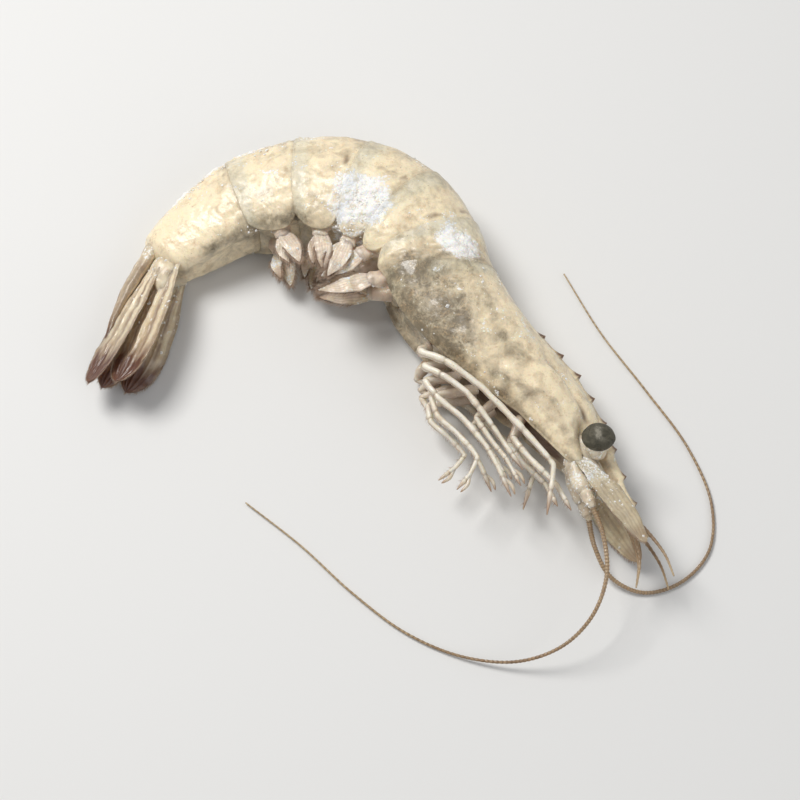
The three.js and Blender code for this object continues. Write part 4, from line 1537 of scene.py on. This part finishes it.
@dataclass
class Face:
    """Eyes, antennal scales and feelers."""

    placing: Placing
    bristles: Bristles
    grains: FrostGrains
    cornea_radius: float = 2.75
    cornea_place: Point = (38.4, 3.4, 5.1)
    cornea_lean: float = 50.0
    scale_half: float = 2.9
    ring_pitch: float = 0.8
    fringe_seed: int = 1120
    fringe_hairs: int = 320
    whip_half: tuple[tuple[float, float], ...] = ((0, 0.50), (0.1, 0.40), (0.4, 0.30), (1, 0.13))

    def eye(self, side: Side) -> tuple[Shape, Shape]:
        """An eye's cornea and its stalk."""
        sign = side.sign
        rows, sides = 44, 60
        polar = np.linspace(0.02, np.pi - 0.02, rows)[:, None]
        turn = np.linspace(0, 2 * np.pi, sides, endpoint=False)[None]
        x, y = np.sin(polar) * np.cos(turn), np.sin(polar) * np.sin(turn)
        z = np.repeat(np.cos(polar), sides, 1)
        bean = 1 - 0.07 * bell(z, -0.35, 0.3)
        centre = np.array(self.cornea_place) * (1, 1, sign)
        long, short = x * 1.03 * bean, y * 0.90 * bean
        lean = math.radians(self.cornea_lean)
        ball = np.stack(
            [
                long * math.cos(lean) - short * math.sin(lean),
                long * math.sin(lean) + short * math.cos(lean),
                z * 0.84 * sign,
            ],
            -1,
        )
        ball = ball * (self.cornea_radius * (1 + 0.02 * waves(ball, 0.9, 33)))[..., None] + centre
        values = {"ice": 0.38 + 0.3 * waves(ball, 3.0, 31), "tone": np.zeros_like(z)}
        route = side.mirrored([(36.6, 1.2, 1.0), (38.9, 2.5, 2.6), (38.7, 3.3, 4.7)])
        stalk = Sweep(Path(route), crumple=0.09)
        t = np.linspace(0, 1, 60)
        half = knots(t, [(0, 2.2), (0.3, 2.2), (0.6, 2.15), (0.85, 2.35), (1, 2.1)])
        half = half - 0.12 * bell(t, 0.45, 0.06)
        stem_values = {"tone": 0.55 + 0 * t, "rim": 0.3 * bell(t, 0.4, 0.05), "ice": 0.50 + 0.1 * t}
        stem = stalk.tube(t, half, half * 0.92, 40, stem_values)
        return self.placing.placed(Shape.around(ball, values)), self.placing.placed(stem)

    def scale(self, side: Side) -> Shape:
        """An antennal scale: a stiff outer rib, a thin inner margin and a fringe."""
        points = side.mirrored([(38.5, -0.5, 2.4), (46, -0.9, 4.3), (51, -1.3, 5.0), (57.5, -2.0, 5.2)])
        sweep = Sweep(Path(points), (0.0, -0.8, 0.6 * side.sign), crumple=0.12)
        t = np.linspace(0, 1, 90)
        width = paddle(t, self.scale_half, 0.5, 0.5)
        ribs = [
            (-0.80, 0.10, 0.20), (-0.4, 0.06, 0.10), (-0.05, 0.07, 0.13), (0.3, 0.06, 0.09),
            (0.6, 0.06, 0.07),
        ]

        def values(along: Array, over: Array) -> Values:
            """Paler between the ribs, darker at the margins and the tip."""
            edge = bell(np.abs(over), 1.0, 0.12)
            return {
                "tone": 0.62 - 0.3 * bell(over, -0.8, 0.15) + 0.10 * ramp(along, 0.2, 0.6),
                "rim": 0.5 * edge,
                "stain": 0.45 * ramp(along, 0.75, 1.0),
                "ice": 0.70 - 0.42 * ramp(along, 0.1, 0.6),
            }

        shape = sweep.blade(t, width, 0.42 * (1 - 0.5 * t), ribs, 0.25, values)
        rng = np.random.default_rng(self.fringe_seed)
        at = rng.uniform(0.30, 1.0, self.fringe_hairs)
        margin = np.interp(at, t, width) - 0.1
        lean, long = (0.6, 0.9, 0.08), (0.56, 0.88)
        self.bristles.fringe(rng, self.placing, sweep, at, 1.0, margin, lean, long)
        return self.grains.settle(self.placing.placed(shape), 260)

    def _whip(self, points: Sequence[Point], half: Sequence[Sequence[float]], steps: int) -> Shape:
        """A ringed feeler."""
        path = Path(points)
        t = np.linspace(0, 1, steps)
        rings = path.length() / self.ring_pitch
        beads = 1 + 0.10 * np.cos(2 * np.pi * rings * t)
        size = tapers(t, half) * beads
        tone = {"tone": 0.45 + 0.2 * np.sin(t * 9) + 0.2 * t}
        return Sweep(path).tube(t, size, size, 10, tone)

    def antennule(self, side: Side) -> list[Shape]:
        """A jointed stem and two short whips."""
        route = side.mirrored([(37.5, 0.5, 1.2), (46, 0.2, 1.4), (51.5, -0.3, 1.6)])
        t = np.linspace(0, 1, 80)
        rows = [
            (0, 1.05), (0.5, 1.1), (0.53, 0.82), (0.56, 0.98), (0.76, 0.9), (0.79, 0.62),
            (0.82, 0.75), (1, 0.6),
        ]
        half = tapers(t, rows)
        joints = bell(t, 0.535, 0.02) + bell(t, 0.79, 0.02)
        values = {"tone": 0.75 - 0.1 * t, "rim": 0.6 * joints, "ice": 0.42 + 0 * t}
        shapes = [Sweep(Path(route), crumple=0.06).tube(t, half, half * 0.9, 20, values)]
        for points in (
            [(50.9, -0.1, 1.6), (55.5, 0.2, 2.3), (60.5, -0.2, 3.1), (64.5, -1.6, 3.8)],
            [(50.9, -0.5, 1.6), (54.5, -1.6, 1.4), (58.5, -3.6, 1.1), (61.5, -6.6, 0.7)],
        ):
            shapes.append(self._whip(side.mirrored(points), [(0, 0.42), (1, 0.14)], 130))
        return [self.placing.placed(shape) for shape in shapes]

    def antenna(self, side: Side) -> list[Shape]:
        """A stout foot and the long whip."""
        routes = {
            Side.RIGHT: [
                (46.5, -4.4, 3.2), (52, -6.4, 3.6), (57.5, -10, 2.6), (61, -15.5, 0.2),
                (61.5, -22, -3.2), (58.5, -29, -6.2), (52, -35.5, -7.7), (43, -40.5, -8.0),
                (32, -43.5, -8.0), (20, -45.5, -8.0), (8, -48.5, -8.0),
            ],
            Side.LEFT: [
                (46.5, -4.5, -3.1), (51, -6.6, -4.4), (56.5, -7.2, -6.6), (61.6, -4.2, -7.9),
                (64, 2.0, -8.0), (62.6, 9.4, -8.0), (56.4, 15.2, -8.0), (46, 18.6, -8.0),
                (33, 19.6, -8.0), (20, 20.2, -8.0), (7, 22.2, -8.0),
            ],
        }
        route = side.mirrored([(37.8, -2.0, 1.6), (43.6, -3.7, 2.7), (47.2, -4.6, 3.3)])
        t = np.linspace(0, 1, 110)
        half = tapers(t, [(0, 1.4), (0.5, 1.55), (0.56, 1.2), (0.6, 1.35), (0.85, 1.05), (1, 0.6)])
        joints = bell(t, 0.57, 0.02) + bell(t, 0.88, 0.02)
        foot_values = {"tone": 0.50 - 0.15 * t, "rim": 0.5 * joints, "ice": 0.62 - 0.15 * t}
        foot = Sweep(Path(route), crumple=0.13).tube(t, half, half * 0.82, 36, foot_values)
        whip = self._whip(routes[side], self.whip_half, 640)
        placed = [self.placing.placed(shape) for shape in (foot, whip)]
        self.grains.settle(placed[0], 200)
        return placed

    def build(self, finishes: Finishes) -> None:
        """Makes the eyes, scales and feelers."""
        for side in Side:
            cornea, stalk = self.eye(side)
            node = f"eye_{side.label}"
            make_piece(f"{node}_cornea", [cornea], finishes.cornea, [node])
            stalk = self.grains.settle(stalk, 60)
            make_piece(f"{node}_stalk", [stalk], finishes.limb)
            node = f"antennal_scale_{side.label}"
            make_piece(f"{node}_blade", [self.scale(side)], finishes.scale, [node])
            feelers = {"antennule": self.antennule(side), "antenna": self.antenna(side)}
            for kind, shapes in feelers.items():
                node = f"{kind}_{side.label}"
                make_piece(f"{node}_foot", shapes[:1], finishes.limb)
                make_piece(f"{node}_whip", shapes[1:], finishes.feeler, [node])


# ---------------------------------------------------------------------------------------------
# Legs


@dataclass
class Legs:
    """Mouth legs and walking legs, the first three pairs with pincers."""

    placing: Placing
    bristles: Bristles
    mouth_leg: tuple[Point, ...] = (
        (27, -4.0, 1.8), (29, -7.2, 2.2), (34, -7.3, 2.2), (40, -6.6, 2.0), (45, -7.4, 1.8),
    )
    walking_legs: tuple[tuple[Point, ...], ...] = (
        (
            (22, -5.6, 2.0), (22.5, -10.0, 2.4), (27, -10.4, 2.0), (31.5, -10.4, 1.8),
            (36.5, -11.4, 1.7),
        ),
        (
            (18.4, -6.6, 2.2), (15.0, -13.8, 2.6), (18.4, -15.2, 2.8), (23, -14.4, 2.6),
            (28.2, -14.2, 2.2), (29.8, -17.0, 2.0), (30.6, -20.4, 1.8),
        ),
        (
            (14.8, -7.8, 2.6), (12.6, -13.4, 4.4), (16.5, -13.6, 4.8), (22, -12.4, 4.4),
            (28, -12.2, 3.8), (32, -12.8, 3.4), (37.3, -14.2, 3.0),
        ),
        (
            (11.4, -8.8, 3.0), (10.9, -12.2, 5.8), (14.6, -10.8, 6.6), (19, -9.5, 6.2),
            (25, -9.4, 5.2), (30, -9.7, 4.4), (35, -9.9, 3.8),
        ),
        (
            (7.8, -9.4, 3.4), (8.6, -11.4, 6.8), (13, -9.3, 8.0), (20, -7.2, 7.2), (30, -6.0, 6.0),
            (37.6, -5.6, 5.0), (40.0, -7.8, 4.4), (43.6, -11.6, 3.6),
        ),
    )
    clawed_pairs: int = 3
    joints: tuple[float, ...] = (0.16, 0.50, 0.64, 0.87)
    taper: tuple[tuple[float, float], ...] = (
        (0, 1.3), (0.1, 1.15), (0.42, 1.0), (0.5, 1.12), (0.57, 0.9), (0.82, 0.8), (0.9, 0.84),
        (1, 0.2),
    )
    sides: int = 20
    hairs: int = 70

    def _route(self, points: Sequence[Point], side: Side) -> Array:
        """A leg's points on its side; the left ones lie a little further back."""
        path = np.array(points, float)
        if side is Side.LEFT:
            steps = np.arange(len(path))
            forward, up, out = path.T
            path = np.stack([forward - 0.7 * steps, up - 0.1 * steps, -np.minimum(out, 6.4)], -1)
        return path

    def leg(self, points: Sequence[Point], side: Side, half: float, clawed: bool) -> list[Shape]:
        """One leg: its hip, its jointed shaft and its pincer.

        Args:
            points: The leg's route on the right side, from its root.
            side: Which side it is on.
            half: Half its thickness in the middle.
            clawed: Whether it ends in a pincer.

        Returns:
            Its shapes, in the part's frame.
        """
        route = self._route(points, side)
        whole = Sweep(Path(route), straight=0.7, crumple=0.07)
        knee = 1 / (len(route) - 1)
        t = np.linspace(0, 1, 200)
        along = (t - knee) / (1 - knee)
        pinch = sum(bell(along, joint, 0.009) for joint in (0.0, *self.joints))
        swell = sum(bell(along, joint - 0.03, 0.025) for joint in self.joints)
        shaft = tapers(along, self.taper) * (1 - 0.13 * pinch + 0.10 * swell)
        size = half * np.where(along < 0, 1.25 + 0.7 * ramp(-along / knee, 0, 0.9), shaft)
        turn = np.linspace(0, 2 * np.pi, self.sides, endpoint=False)[None]
        # line: dark lines along both flanks of the leg, painted shade of the gaps between the legs
        line = bell(turn, 1.25, 0.3) + 0.6 * bell(turn, 4.6, 0.4)
        hip = 1 - ramp(along, -0.12, 0.05)
        pale = 0.86 - 0.25 * pinch + 0.14 * np.sin(14 * t) - 0.35 * hip
        # tone: 0.14 * cos(turn) paints a highlight on the leg's upper side and shade on its underside;
        # stain: the darker tip and hip, with the flank lines as painted shade
        values = {
            "tone": pale[:, None] + 0.14 * np.cos(turn),
            "rim": 0.45 * pinch,
            "stain": (0.55 * ramp(along, 0.84, 1.0) + 0.26 * hip)[:, None] + 0.36 * line,
            "ice": 0.36 + 0 * t,
        }
        shapes = [whole.tube(t, size * 1.12, size * 0.82, self.sides, values)]
        if clawed:
            shapes.append(self._finger(route))
        self._hairs(whole, size, t, side)
        return [self.placing.placed(shape) for shape in shapes]

    def _finger(self, route: Array) -> Shape:
        """A pincer's second finger beside the leg's tip."""
        knee, tip = route[-2:]
        along = unit(tip - knee)
        aside = np.array([-along[1], along[0], 0.0])
        bends = ((3.3, 0.15), (1.7, 0.85), (0.05, 0.75))
        points = [tip - along * back + aside * out for back, out in bends]
        t = np.linspace(0, 1, 30)
        size = tapers(t, [(0, 0.30), (0.5, 0.34), (0.9, 0.2), (1, 0.06)])
        values = {"tone": 0.7 - 0.2 * t, "stain": 0.5 * ramp(t, 0.6, 1)}
        return Sweep(Path(points)).tube(t, size, size, 12, values)

    def _hairs(self, shaft: Sweep, size: Array, t: Array, side: Side) -> None:
        """Short hairs on a leg's lower edge."""
        rng = np.random.default_rng(int(abs(shaft.path.points.sum()) * 10))
        at = rng.uniform(0.2, 0.97, self.hairs)
        centre, tangent, wide, deep = shaft.axes(at)
        turn = rng.uniform(-0.9, 0.9, self.hairs)[:, None]
        out = unit(-deep * np.cos(turn) + wide * np.sin(turn) * side.sign)
        down = np.where(out[:, 1:2] > 0, -out, out)
        root = centre + down * (np.interp(at, t, size) * 0.8)[:, None]
        tip = root + unit(down + tangent * 0.8) * rng.uniform(0.4, 1.0, self.hairs)[:, None]
        self.bristles.plant(self.placing.out(root), self.placing.out(tip), 0.03)

    def build(self, finishes: Finishes) -> None:
        """Makes every leg."""
        for side in Side:
            node = f"maxilliped_{side.label}"
            shapes = self.leg(self.mouth_leg, side, 0.62, False)
            make_piece(f"{node}_limb", shapes, finishes.limb, [node])
            for i, route in enumerate(self.walking_legs):
                node = f"walking_leg_{side.label}_{i + 1}"
                shapes = self.leg(route, side, 0.52 + 0.03 * i, i < self.clawed_pairs)
                make_piece(f"{node}_limb", shapes, finishes.limb, [node])


# ---------------------------------------------------------------------------------------------
# Swimmerets


@dataclass
class Swimmerets:
    """A stout stem and two fringed leaves on each side under the first five rings."""

    body: BodySpace
    bristles: Bristles
    grains: FrostGrains
    lengths: tuple[float, ...] = (11.5, 10.0, 9.5, 8.5, 8.0)
    leans: tuple[float, ...] = (8.0, 4.0, 0.0, -4.0, -10.0)
    fringe_hairs: int = 260

    def swimmeret(self, index: int, side: Side) -> list[Shape]:
        """One swimmeret.

        Args:
            index: The ring that carries it, from 0.
            side: Which side it is on.

        Returns:
            Its stem and its leaves, in the part's frame.
        """
        s = self.body.joints[index] + 0.5 * self.body.rings[index].length
        placing = self.body.placing(s)
        length, sign = self.lengths[index], side.sign
        angle = math.radians(self.leans[index] + (0 if side is Side.RIGHT else 12))
        down = np.array([-math.sin(angle), -math.cos(angle), 0.0])
        depth, half_width = (float(self.body.profile(column, s)) for column in (2, 3))
        hip = np.array([0.0, -0.6 * depth, sign * 0.36 * half_width])
        spread = 1.0 if side is Side.RIGHT else 0.4

        def at(distance: float, outwards: float) -> Array:
            """A point of the stem's line."""
            return hip + down * distance + np.array([0.0, 0.0, sign * outwards * spread])

        across = (down[1], -down[0], 0.0)
        line = [at(0, 0), at(0.3 * length, 0.7), at(0.65 * length, 1.4), at(1.1 * length, 1.2)]
        whole = Path(line)
        t = np.linspace(0, 0.52, 40)
        wide = tapers(t, [(0, 1.8), (0.3, 1.7), (0.42, 1.45), (0.47, 1.5), (0.52, 0.9)])
        thick = tapers(t, [(0, 1.5), (0.3, 1.2), (0.45, 0.9), (0.52, 0.5)])
        stem_values = {"tone": 0.50 + 0.4 * t, "rim": 0.45 * bell(t, 0.46, 0.02), "ice": 0.42 + 0 * t}
        stem = Sweep(whole, across, crumple=0.12).tube(t, wide, thick, 36, stem_values)
        leaves = [stem]
        start = whole.at(np.array([0.44]))[0]
        tip = line[-1]
        fore = np.array([-down[1], down[0], 0.0])
        proud = 0.7 if index == 2 else 0.0
        for forward, share, half, lift in ((0.35, 1.22, 1.6, 0.6), (-0.9, 1.0, 1.05, -0.5)):
            end = start + (tip - start) * share + fore * forward * 1.2
            lifted = np.array([0.0, 0.0, (lift + proud) * sign])
            middle = (start + end) / 2 + fore * forward * 0.9 + lifted
            sweep = Sweep(Path([start + lifted * 0.4, middle, end + lifted]), across, crumple=0.24)
            along = np.linspace(0, 1, 64)
            width = half * np.sin(np.pi * (0.08 + 0.92 * along) ** 0.75) ** 0.75

            def values(u: Array, v: Array) -> Values:
                """Pale in the middle, with joints across and a dark margin."""
                joints = 0.5 + 0.5 * np.cos(2 * np.pi * 13 * u)
                edge = bell(np.abs(v), 1.0, 0.16)
                return {
                    "tone": 0.92 - 0.14 * joints - 0.2 * ramp(u, 0.7, 1.0),
                    "rim": 0.25 * edge,
                    "stain": 0.35 * ramp(u, 0.7, 1.0) + 0.15 * edge,
                    "ice": np.full_like(u, 0.54),
                }

            ribs = [
                (-0.7, 0.08, 0.09), (-0.35, 0.08, 0.08), (0.0, 0.12, 0.15), (0.4, 0.08, 0.09),
                (0.75, 0.08, 0.07),
            ]
            depth = 0.30 * (1 - 0.5 * along)
            leaves.append(sweep.blade(along, width, depth, ribs, 0.12, values, 33))
            self._fringe(sweep, width, along, placing, index * 10 + int(share * 10))
        return [self.grains.settle(placing.placed(shape), 16) for shape in leaves]

    def _fringe(self, sweep: Sweep, width: Array, t: Array, placing: Placing, seed: int) -> None:
        """Hairs along both margins and the tip of a leaf."""
        rng = np.random.default_rng(seed)
        at = 1 - rng.uniform(0, 0.75, self.fringe_hairs) ** 1.4
        edge = np.where(rng.uniform(size=self.fringe_hairs) < 0.5, -1.0, 1.0)
        margin = np.interp(at, t, width) - 0.08
        lean, long = (0.5, 0.9, 0.1), (0.7, 1.6)
        self.bristles.fringe(rng, placing, sweep, at, edge, margin, lean, long, radius=0.035)

    def build(self, finishes: Finishes) -> None:
        """Makes every swimmeret."""
        for side in Side:
            for index in range(len(self.lengths)):
                node = f"swimmeret_{side.label}_{index + 1}"
                shapes = self.swimmeret(index, side)
                make_piece(f"{node}_leaves", shapes, finishes.swimmeret, [node])


# ---------------------------------------------------------------------------------------------
# Tail fan


@dataclass(frozen=True)
class TailBlade:
    """One blade of the fan: how it folds, its size, and its root and end as (d, r)."""

    name: str
    fold: float
    half: float
    length: float
    root: tuple[float, float]
    end: tuple[float, float]


@dataclass
class TailFan:
    """The telson and the four blades folded beside it."""

    placing: Placing
    bristles: Bristles
    grains: FrostGrains
    telson_length: float = 21.0
    telson_half: float = 3.0
    telson_depth: float = 1.4
    blades: tuple[TailBlade, ...] = (
        TailBlade("right_inner", 46, 3.3, 27.5, (0.4, 2.3), (0.2, 2.7)),
        TailBlade("right_outer", 56, 3.8, 25.5, (-2.4, 2.9), (-4.2, 3.6)),
        TailBlade("left_inner", 68, 2.9, 26.0, (-0.2, -1.6), (-1.0, -1.5)),
        TailBlade("left_outer", 74, 3.4, 24.5, (-2.8, -2.7), (-4.8, -2.9)),
    )
    fringe_hairs: int = 620

    @staticmethod
    def _values(along: Array, over: Array) -> Values:
        """Beige at the root, striped along, with a dark tip and dark margins."""
        edge = bell(np.abs(over), 1.0, 0.12)
        stripe = bell(np.abs(over + 0.05 * np.sin(7 * along)), 0.42, 0.09)
        dark = 0.94 * ramp(along + 0.07 * np.sin(9 * over + 1), 0.60, 0.95)
        return {
            "tone": 0.95 - 0.22 * ramp(along, 0.1, 0.75) - 0.30 * bell(np.abs(over), 0.15, 0.08),
            "rim": 0.5 * edge * ramp(along, 0.05, 0.3),
            "stain": np.clip(dark + 0.32 * stripe * ramp(along, 0.05, 0.3), 0, 1),
            "ice": 0.08 * (1 - ramp(along, 0.0, 0.2)) + 0.38 * (1 - ramp(along, 0.3, 0.8)),
        }

    def telson(self) -> Shape:
        """The pointed middle blade, grooved along its back."""
        length = self.telson_length
        route = [(0.5, 2.4, 0), (-7, 2.8, 0), (-14, 2.6, 0), (-length, 1.6, 0)]
        sweep = Sweep(Path(route), crumple=0.08)
        t = np.linspace(0, 1, 120)
        width = self.telson_half * (1 - t) ** 0.8 + 0.22
        depth = self.telson_depth * (1 - t) + 0.22
        ribs = [
            (-0.32, 0.12, 0.25), (0.32, 0.12, 0.25), (0.0, 0.14, -0.3), (0.78, 0.08, 0.22),
            (-0.78, 0.08, 0.22),
        ]
        return self.placing.placed(sweep.blade(t, width, depth, ribs, 0.1, self._values))

    def blade(self, blade: TailBlade) -> Shape:
        """One folded blade with ribs along it and a fringe round its end."""
        angle = math.radians(blade.fold)
        side = math.copysign(1.0, blade.root[1])
        between = tuple(0.6 * a + 0.4 * b for a, b in zip(blade.root, blade.end))
        path = Path(
            [
                (-0.4, *blade.root),
                (-0.38 * blade.length, *between),
                (-0.72 * blade.length, *blade.end),
                (-blade.length, *blade.end),
            ]
        )
        sweep = Sweep(path, (0.0, -math.sin(angle), side * math.cos(angle)), crumple=0.12)
        t = np.linspace(0, 1, 150)
        width = paddle(t, blade.half, 0.42)
        ribs = [
            (-0.1, 0.08, 0.30), (0.28, 0.06, 0.14), (-0.45, 0.06, 0.14), (0.62, 0.05, 0.08),
            (-0.75, 0.05, 0.08),
        ]
        depth = 0.40 * (1 - 0.5 * t)
        shape = sweep.blade(t, width, depth, ribs, -0.35 * side, self._values, 61)
        self._fringe(sweep, width, t, blade)
        return self.grains.settle(self.placing.placed(shape), 120)

    def peduncle(self, blade: TailBlade) -> Shape:
        """The short stout joint that carries one side's two blades."""
        d, r = blade.root
        steps = ((1.8, 0.5, 0.65), (-1.8, 0.6, 0.85), (-4.4, 0.8, 1.0), (-7.0, 1.0, 1.0))
        path = Path([(f, d * up, r * out) for f, up, out in steps])
        t = np.linspace(0, 1, 60)
        wide = knots(t, [(0, 1.9), (0.35, 2.2), (0.6, 1.8), (0.82, 1.15), (0.95, 0.6), (1, 0.2)])
        values = {"tone": 0.92 - 0.15 * t, "rim": 0.12 * bell(t, 0.55, 0.06), "ice": 0.48 - 0.15 * t}
        joint = Sweep(path, crumple=0.17).tube(t, wide * 0.5, wide, 44, values)
        return self.grains.settle(self.placing.placed(joint), 120)

    def _fringe(self, sweep: Sweep, width: Array, t: Array, blade: TailBlade) -> None:
        """Close-set hairs round a blade's end."""
        count = self.fringe_hairs
        rng = np.random.default_rng(int(blade.fold))
        at = 1 - rng.uniform(0, 0.55, count) ** 1.25
        edge = np.where(rng.uniform(size=count) < 0.5, -1.0, 1.0)
        margin = np.interp(at, t, width) - 0.1
        margin = np.where(at > 0.97, margin * rng.uniform(0, 1, count), margin)
        lean, long = (0.65 * (1 - ramp(at, 0.9, 1.0)), 1.0, 0.06), (0.35, 0.8)
        self.bristles.fringe(rng, self.placing, sweep, at, edge, margin, lean, long)

    def build(self, finishes: Finishes) -> None:
        """Makes the telson and the blades."""
        make_piece("telson_blade", [self.telson()], finishes.tail, ["telson"])
        for blade in self.blades:
            node = f"uropod_{blade.name}"
            shapes = [self.blade(blade)]
            if "outer" in blade.name:
                shapes.append(self.peduncle(blade))
            make_piece(f"{node}_blade", shapes, finishes.tail, [node])


# ---------------------------------------------------------------------------------------------
# Floor, light and camera


@dataclass
class Studio:
    """A plain pale floor, soft light, and the camera at the photograph's angle."""

    elevation: float = 68.0
    lens: float = 100.0
    distance: float = 0.385
    aim: Point = (0.0, -0.001, 0.004)
    floor_size: float = 3.0

    def floor(self) -> None:
        """The floor, with a fine unevenness of tone."""
        half = self.floor_size / 2
        mesh = bpy.data.meshes.new("studio_floor")
        corners = [(-half, -half, 0), (half, -half, 0), (half, half, 0), (-half, half, 0)]
        mesh.from_pydata(corners, [], [(0, 1, 2, 3)])
        floor = bpy.data.objects.new("studio_floor", mesh)
        material = bpy.data.materials.new("studio_pale")
        material.use_nodes = True
        g = Graph(material.node_tree)
        shader = material.node_tree.nodes["Principled BSDF"]
        noise = g.add("ShaderNodeTexNoise", {"Scale": 3.0, "Detail": 2.0})
        pale = g.blend(noise.outputs[0], (0.76, 0.76, 0.75), (0.80, 0.80, 0.79))
        g.feed(shader.inputs["Base Color"], pale)
        g.feed(shader.inputs["Roughness"], 0.7)
        mesh.materials.append(material)
        bpy.context.scene.collection.objects.link(floor)

    def light(self, name: str, at: Point, size: float, power: float, tint: Colour) -> None:
        """One soft light, aimed at the shrimp."""
        data = bpy.data.lights.new(name, "AREA")
        data.size, data.energy, data.color = size, power, tint
        lamp = bpy.data.objects.new(name, data)
        lamp.location = at
        lamp.rotation_mode = "QUATERNION"
        lamp.rotation_quaternion = (-Vector(at)).to_track_quat("-Z", "Y")
        bpy.context.scene.collection.objects.link(lamp)

    def camera(self) -> None:
        """The camera, looking along +Y and down."""
        data = bpy.data.cameras.new("camera")
        data.lens = self.lens
        camera = bpy.data.objects.new("camera", data)
        tilt = math.radians(self.elevation)
        back = Vector((0.0, -math.cos(tilt), math.sin(tilt)))
        camera.location = Vector(self.aim) + back * self.distance
        camera.rotation_mode = "QUATERNION"
        camera.rotation_quaternion = (-back).to_track_quat("-Z", "Y")
        bpy.context.scene.collection.objects.link(camera)
        bpy.context.scene.camera = camera

    def build(self) -> None:
        """Makes all of it."""
        scene = bpy.context.scene
        scene.view_settings.view_transform = "Standard"
        world = bpy.data.worlds.new("studio_air")
        world.use_nodes = True
        world.node_tree.nodes["Background"].inputs[0].default_value = (0.98, 0.98, 1.0, 1.0)
        world.node_tree.nodes["Background"].inputs[1].default_value = 0.33
        scene.world = world
        self.camera()
        self.floor()
        self.light("key_light", (-0.28, 0.22, 0.55), 0.26, 3.3, (1.0, 0.985, 0.96))
        self.light("fill_light", (0.45, -0.35, 0.40), 0.5, 0.9, (0.96, 0.98, 1.0))


def main() -> None:
    """Builds the shrimp and the studio."""
    logging.basicConfig(level=logging.INFO, format="%(name)s: %(message)s")
    body = BodySpace()
    regions = Regions(body)
    finishes = Finishes()
    bristles = Bristles()
    grains = FrostGrains(body)
    head = body.placing(-body.bend_spread, -body.bend_spread)
    tail = body.placing(float(body.joints[-1]) + body.bend_spread / 2, body.bend_spread / 2)
    Studio().build()
    Shells(body, regions, head).build(finishes)
    Face(head, bristles, grains).build(finishes)
    Legs(head, bristles).build(finishes)
    Swimmerets(body, bristles, grains).build(finishes)
    TailFan(tail, bristles, grains).build(finishes)
    make_piece("fine_bristles", [bristles.shape()], finishes.bristles)
    frost = grains.shape(regions.grains, regions.ridge)
    make_piece("frost_grains", [frost], finishes.grains, smooth=False)


if __name__ == "__main__":
    main()
